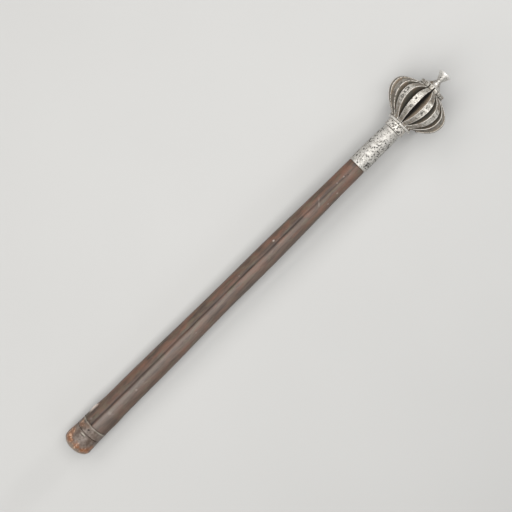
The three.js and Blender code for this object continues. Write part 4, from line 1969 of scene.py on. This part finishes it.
@dataclass
class Finial:
    """The turned finial: plate, cone, waist and trumpet-shaped knob."""

    # Place along, place round in millimetres, and radius of the pits that stand out
    PITS: ClassVar[tuple[Triple, ...]] = (
        (635.3, -2.0, 0.75), (632.7, -0.3, 0.65), (636.3, -0.7, 0.45), (634.0, 0.7, 0.4),
        (638.2, -3.2, 0.4), (637.2, 1.9, 0.4), (626.6, 4.6, 0.6), (625.4, 6.3, 0.5),
        (627.5, -3.9, 0.5),
    )
    TURNED_LINES: ClassVar[Triple] = (623.9, 625.6, 629.4)

    plate_radius: float = 11.9
    plate: float = 0.8
    cone_radius: float = 11.0
    cone_curve: float = 1.6
    waist_radius: float = 3.4
    knob_radius: float = 8.2
    knob_curve: float = 1.25
    offset: float = 1.0
    small_pits: int = 60
    pit_depth: float = 0.3
    line_width: float = 0.28
    line_depth: float = 0.10
    hammered: float = 0.05
    sides: int = 180
    seed: int = 71

    def profile(self) -> Profile:
        """Outline from the plate's underside to the top of the knob.

        Returns:
            The outline.
        """
        base = SIZES.lug_top + SIZES.gap
        parts = np.linspace(0, 1, 24)
        flare = self.cone_radius - self.waist_radius
        cone = [
            (SIZES.finial_base + (SIZES.waist - SIZES.finial_base) * p,
             self.waist_radius + flare * (1 - p) ** self.cone_curve)
            for p in parts
        ]
        flare = self.knob_radius - self.waist_radius
        trumpet = [
            (SIZES.waist + (SIZES.knob_rim - SIZES.waist) * p,
             self.waist_radius + flare * p**self.knob_curve)
            for p in parts[1:]
        ]
        height = SIZES.length - SIZES.knob_rim
        dome = [
            (SIZES.knob_rim + height * math.sin(a), self.knob_radius * math.cos(a))
            for a in np.linspace(0, math.pi / 2, 24)[1:-1]
        ]
        line = Profile().run([(base, 0), (base, self.plate_radius)], 1.0)
        line.run([(base + self.plate, self.plate_radius)], 0.2)
        return line.run([*cone, *trumpet, *dome, (SIZES.length, 0)], 0.3)

    def build(self) -> bpy.types.Object:
        """Builds the finial with its pits and turning lines.

        Returns:
            The new object.
        """
        surface = TurnedSurface(self.profile(), self.sides, tapering=True)
        metal = PittedMetal(surface, self.seed)
        for _ in range(self.small_pits):
            place = (metal.rng.uniform(623, 642), metal.rng.uniform(-24, 24))
            metal.marks.dot(*place, metal.rng.uniform(0.15, 0.4), 0.2)
        for along, around, radius in self.PITS:
            metal.marks.dot(along, around, radius, self.pit_depth)
        on_cone = surface.radius > self.waist_radius + 0.4
        for along in self.TURNED_LINES:
            turned = bell(surface.along - along, self.line_width) * self.line_depth * on_cone
            metal.marks.depth = np.maximum(metal.marks.depth, turned)
        left = np.clip(0.7 - surface.degrees / 80, 0.55, 1)
        warm = ramp(surface.along, 631, 627) * left
        # Painted highlights: the knob's rim and dome, the plate's edge, and a line along the top
        knob_places = (631.5, 634, SIZES.knob_rim - 2.2, SIZES.knob_rim - 1.2)
        knob = np.interp(surface.along, knob_places, (0, 0.1, 0.15, 0.9))
        rim = (surface.along < SIZES.finial_base + 0.1) * 0.7
        ridge = 0.5 * bell(surface.degrees, 16)
        shine = np.maximum(np.maximum(knob, rim), ridge)
        places = PLACEMENT.head(surface.raised(metal.relief(self.hammered), self.offset))
        return ringed_mesh("turned_finial", places, metal.values(warm, shine), Ends.POLES)


@dataclass(frozen=True)
class Panel:
    """A soft rectangular light that faces the mace, in metres and watts."""

    name: str
    place: Triple
    size: Pair
    power: float
    colour: Colour

    def hang(self) -> None:
        """Hangs the panel, its back away from the mace."""
        light = bpy.data.lights.new(self.name, "AREA")
        light.shape = "RECTANGLE"
        light.size, light.size_y = self.size
        light.energy = self.power
        light.color = self.colour
        lamp = bpy.data.objects.new(self.name, light)
        place = Vector(self.place)
        back = place.normalized()
        along = (Vector((1, 0, 0)) - back * back.x).normalized()
        lamp.matrix_world = Matrix([*zip(along, back.cross(along), back, place), (0, 0, 0, 1)])
        lamp.visible_camera = False
        bpy.context.scene.collection.objects.link(lamp)


@dataclass
class Studio:
    """The pale floor, the soft lights and the camera at the photograph's angle."""

    PANELS: ClassVar[tuple[Panel, ...]] = (
        Panel("overhead", (-0.1, 0.0, 1.45), (2.6, 1.1), 36.0, (1.0, 0.99, 0.97)),
        Panel("left_side", (0.1, 0.95, 1.15), (1.6, 0.6), 10.0, (1.0, 0.98, 0.96)),
        Panel("right_side", (0.1, -1.15, 0.9), (1.4, 0.6), 2.5, (0.99, 0.99, 1.0)),
        Panel("tip_side", (1.5, 0.0, 0.45), (0.3, 0.3), 10.0, (1.0, 1.0, 1.0)),
        Panel("butt_side", (-1.35, 0.15, 0.9), (0.4, 0.8), 3.0, (1.0, 0.98, 0.95)),
    )

    lean: float = math.radians(6.3635)
    roll: float = math.radians(3.5)
    distance: float = 1558.8
    spin: float = math.radians(44.796)
    aim_along: float = 330.17
    aim_left: float = 6.815
    aim_up: float = 18.0
    rise: Pair = (39.65 - 18.6, 582.0)
    focal_pixels: float = 1289.5
    image_pixels: float = 512.0
    sensor: float = 36.0
    floor_size: float = 6.0
    floor_drop: float = 0.00005
    surroundings: Colour = (0.9, 0.92, 0.95)
    surroundings_strength: float = 0.06

    def floor(self, material: bpy.types.Material) -> None:
        """Lays the floor just under the mace.

        Args:
            material: its material.
        """
        half = self.floor_size / 2
        corners = [(-half, -half), (half, -half), (half, half), (-half, half)]
        mesh = bpy.data.meshes.new("floor")
        mesh.from_pydata([(x, y, -self.floor_drop) for x, y in corners], [], [(0, 1, 2, 3)])
        mesh.materials.append(material)
        piece = bpy.data.objects.new("floor", mesh)
        bpy.context.scene.collection.objects.link(piece)

    def light(self) -> None:
        """Hangs the panels and sets the dim surroundings."""
        for panel in self.PANELS:
            panel.hang()
        world = bpy.data.worlds.new("surroundings")
        world.use_nodes = True
        ground = world.node_tree.nodes["Background"]
        ground.inputs["Color"].default_value = (*self.surroundings, 1)
        ground.inputs["Strength"].default_value = self.surroundings_strength
        bpy.context.scene.world = world
        bpy.context.scene.view_settings.view_transform = "Standard"

    def camera(self) -> None:
        """Sets the camera above the mace, turned so that the mace runs to the upper right."""
        tilt = math.atan2(*self.rise)
        axis = np.array([math.cos(tilt), 0, math.sin(tilt)])
        up = np.array([-math.sin(tilt), 0, math.cos(tilt)])
        across = math.cos(self.roll) * up + math.sin(self.roll) * np.array([0, 1, 0])
        back = math.cos(self.lean) * across + math.sin(self.lean) * axis
        butt = np.array([CAD_BOX[0].x / METRES, self.aim_left, self.aim_up])
        place = (butt + axis * self.aim_along + back * self.distance) * METRES
        ahead = axis - back * np.dot(axis, back)
        ahead /= np.linalg.norm(ahead)
        side = np.cross(back, ahead)
        right = math.cos(self.spin) * ahead - math.sin(self.spin) * side
        high = math.sin(self.spin) * ahead + math.cos(self.spin) * side
        lens = bpy.data.cameras.new("camera")
        lens.sensor_width = self.sensor
        lens.lens = self.sensor * self.focal_pixels / self.image_pixels
        eye = bpy.data.objects.new("camera", lens)
        eye.matrix_world = Matrix([*zip(right, high, back, place), (0, 0, 0, 1)])
        bpy.context.scene.collection.objects.link(eye)
        bpy.context.scene.camera = eye


def main() -> None:
    """Builds every piece in order, then the studio."""
    logging.basicConfig(level=logging.INFO, format="%(message)s")
    finishes = Finishes()
    settle(ButtCap().build(), "butt_cap", finishes.cap)
    settle(ButtBand().build(), "butt_band", finishes.cap)
    settle(Haft().build(), "haft", finishes.haft)
    settle(Sleeve().build(), "socket", finishes.silvered)
    settle(Collar().build(), "collar", finishes.silvered)
    settle(NeckDisc().build(), "neck_disc", finishes.silvered)
    for number in range(1, SIZES.flanges + 1):
        settle(Flange(number).build(), f"flange_{number:02d}", finishes.flange)
    settle(Finial().build(), "finial", finishes.turned)
    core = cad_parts["head_core"]
    core.data.materials.clear()
    core.data.materials.append(finishes.core)
    log.info("head_core: the solid itself, with a new finish")
    studio = Studio()
    studio.floor(finishes.floor)
    studio.light()
    studio.camera()


if __name__ == "__main__":
    main()
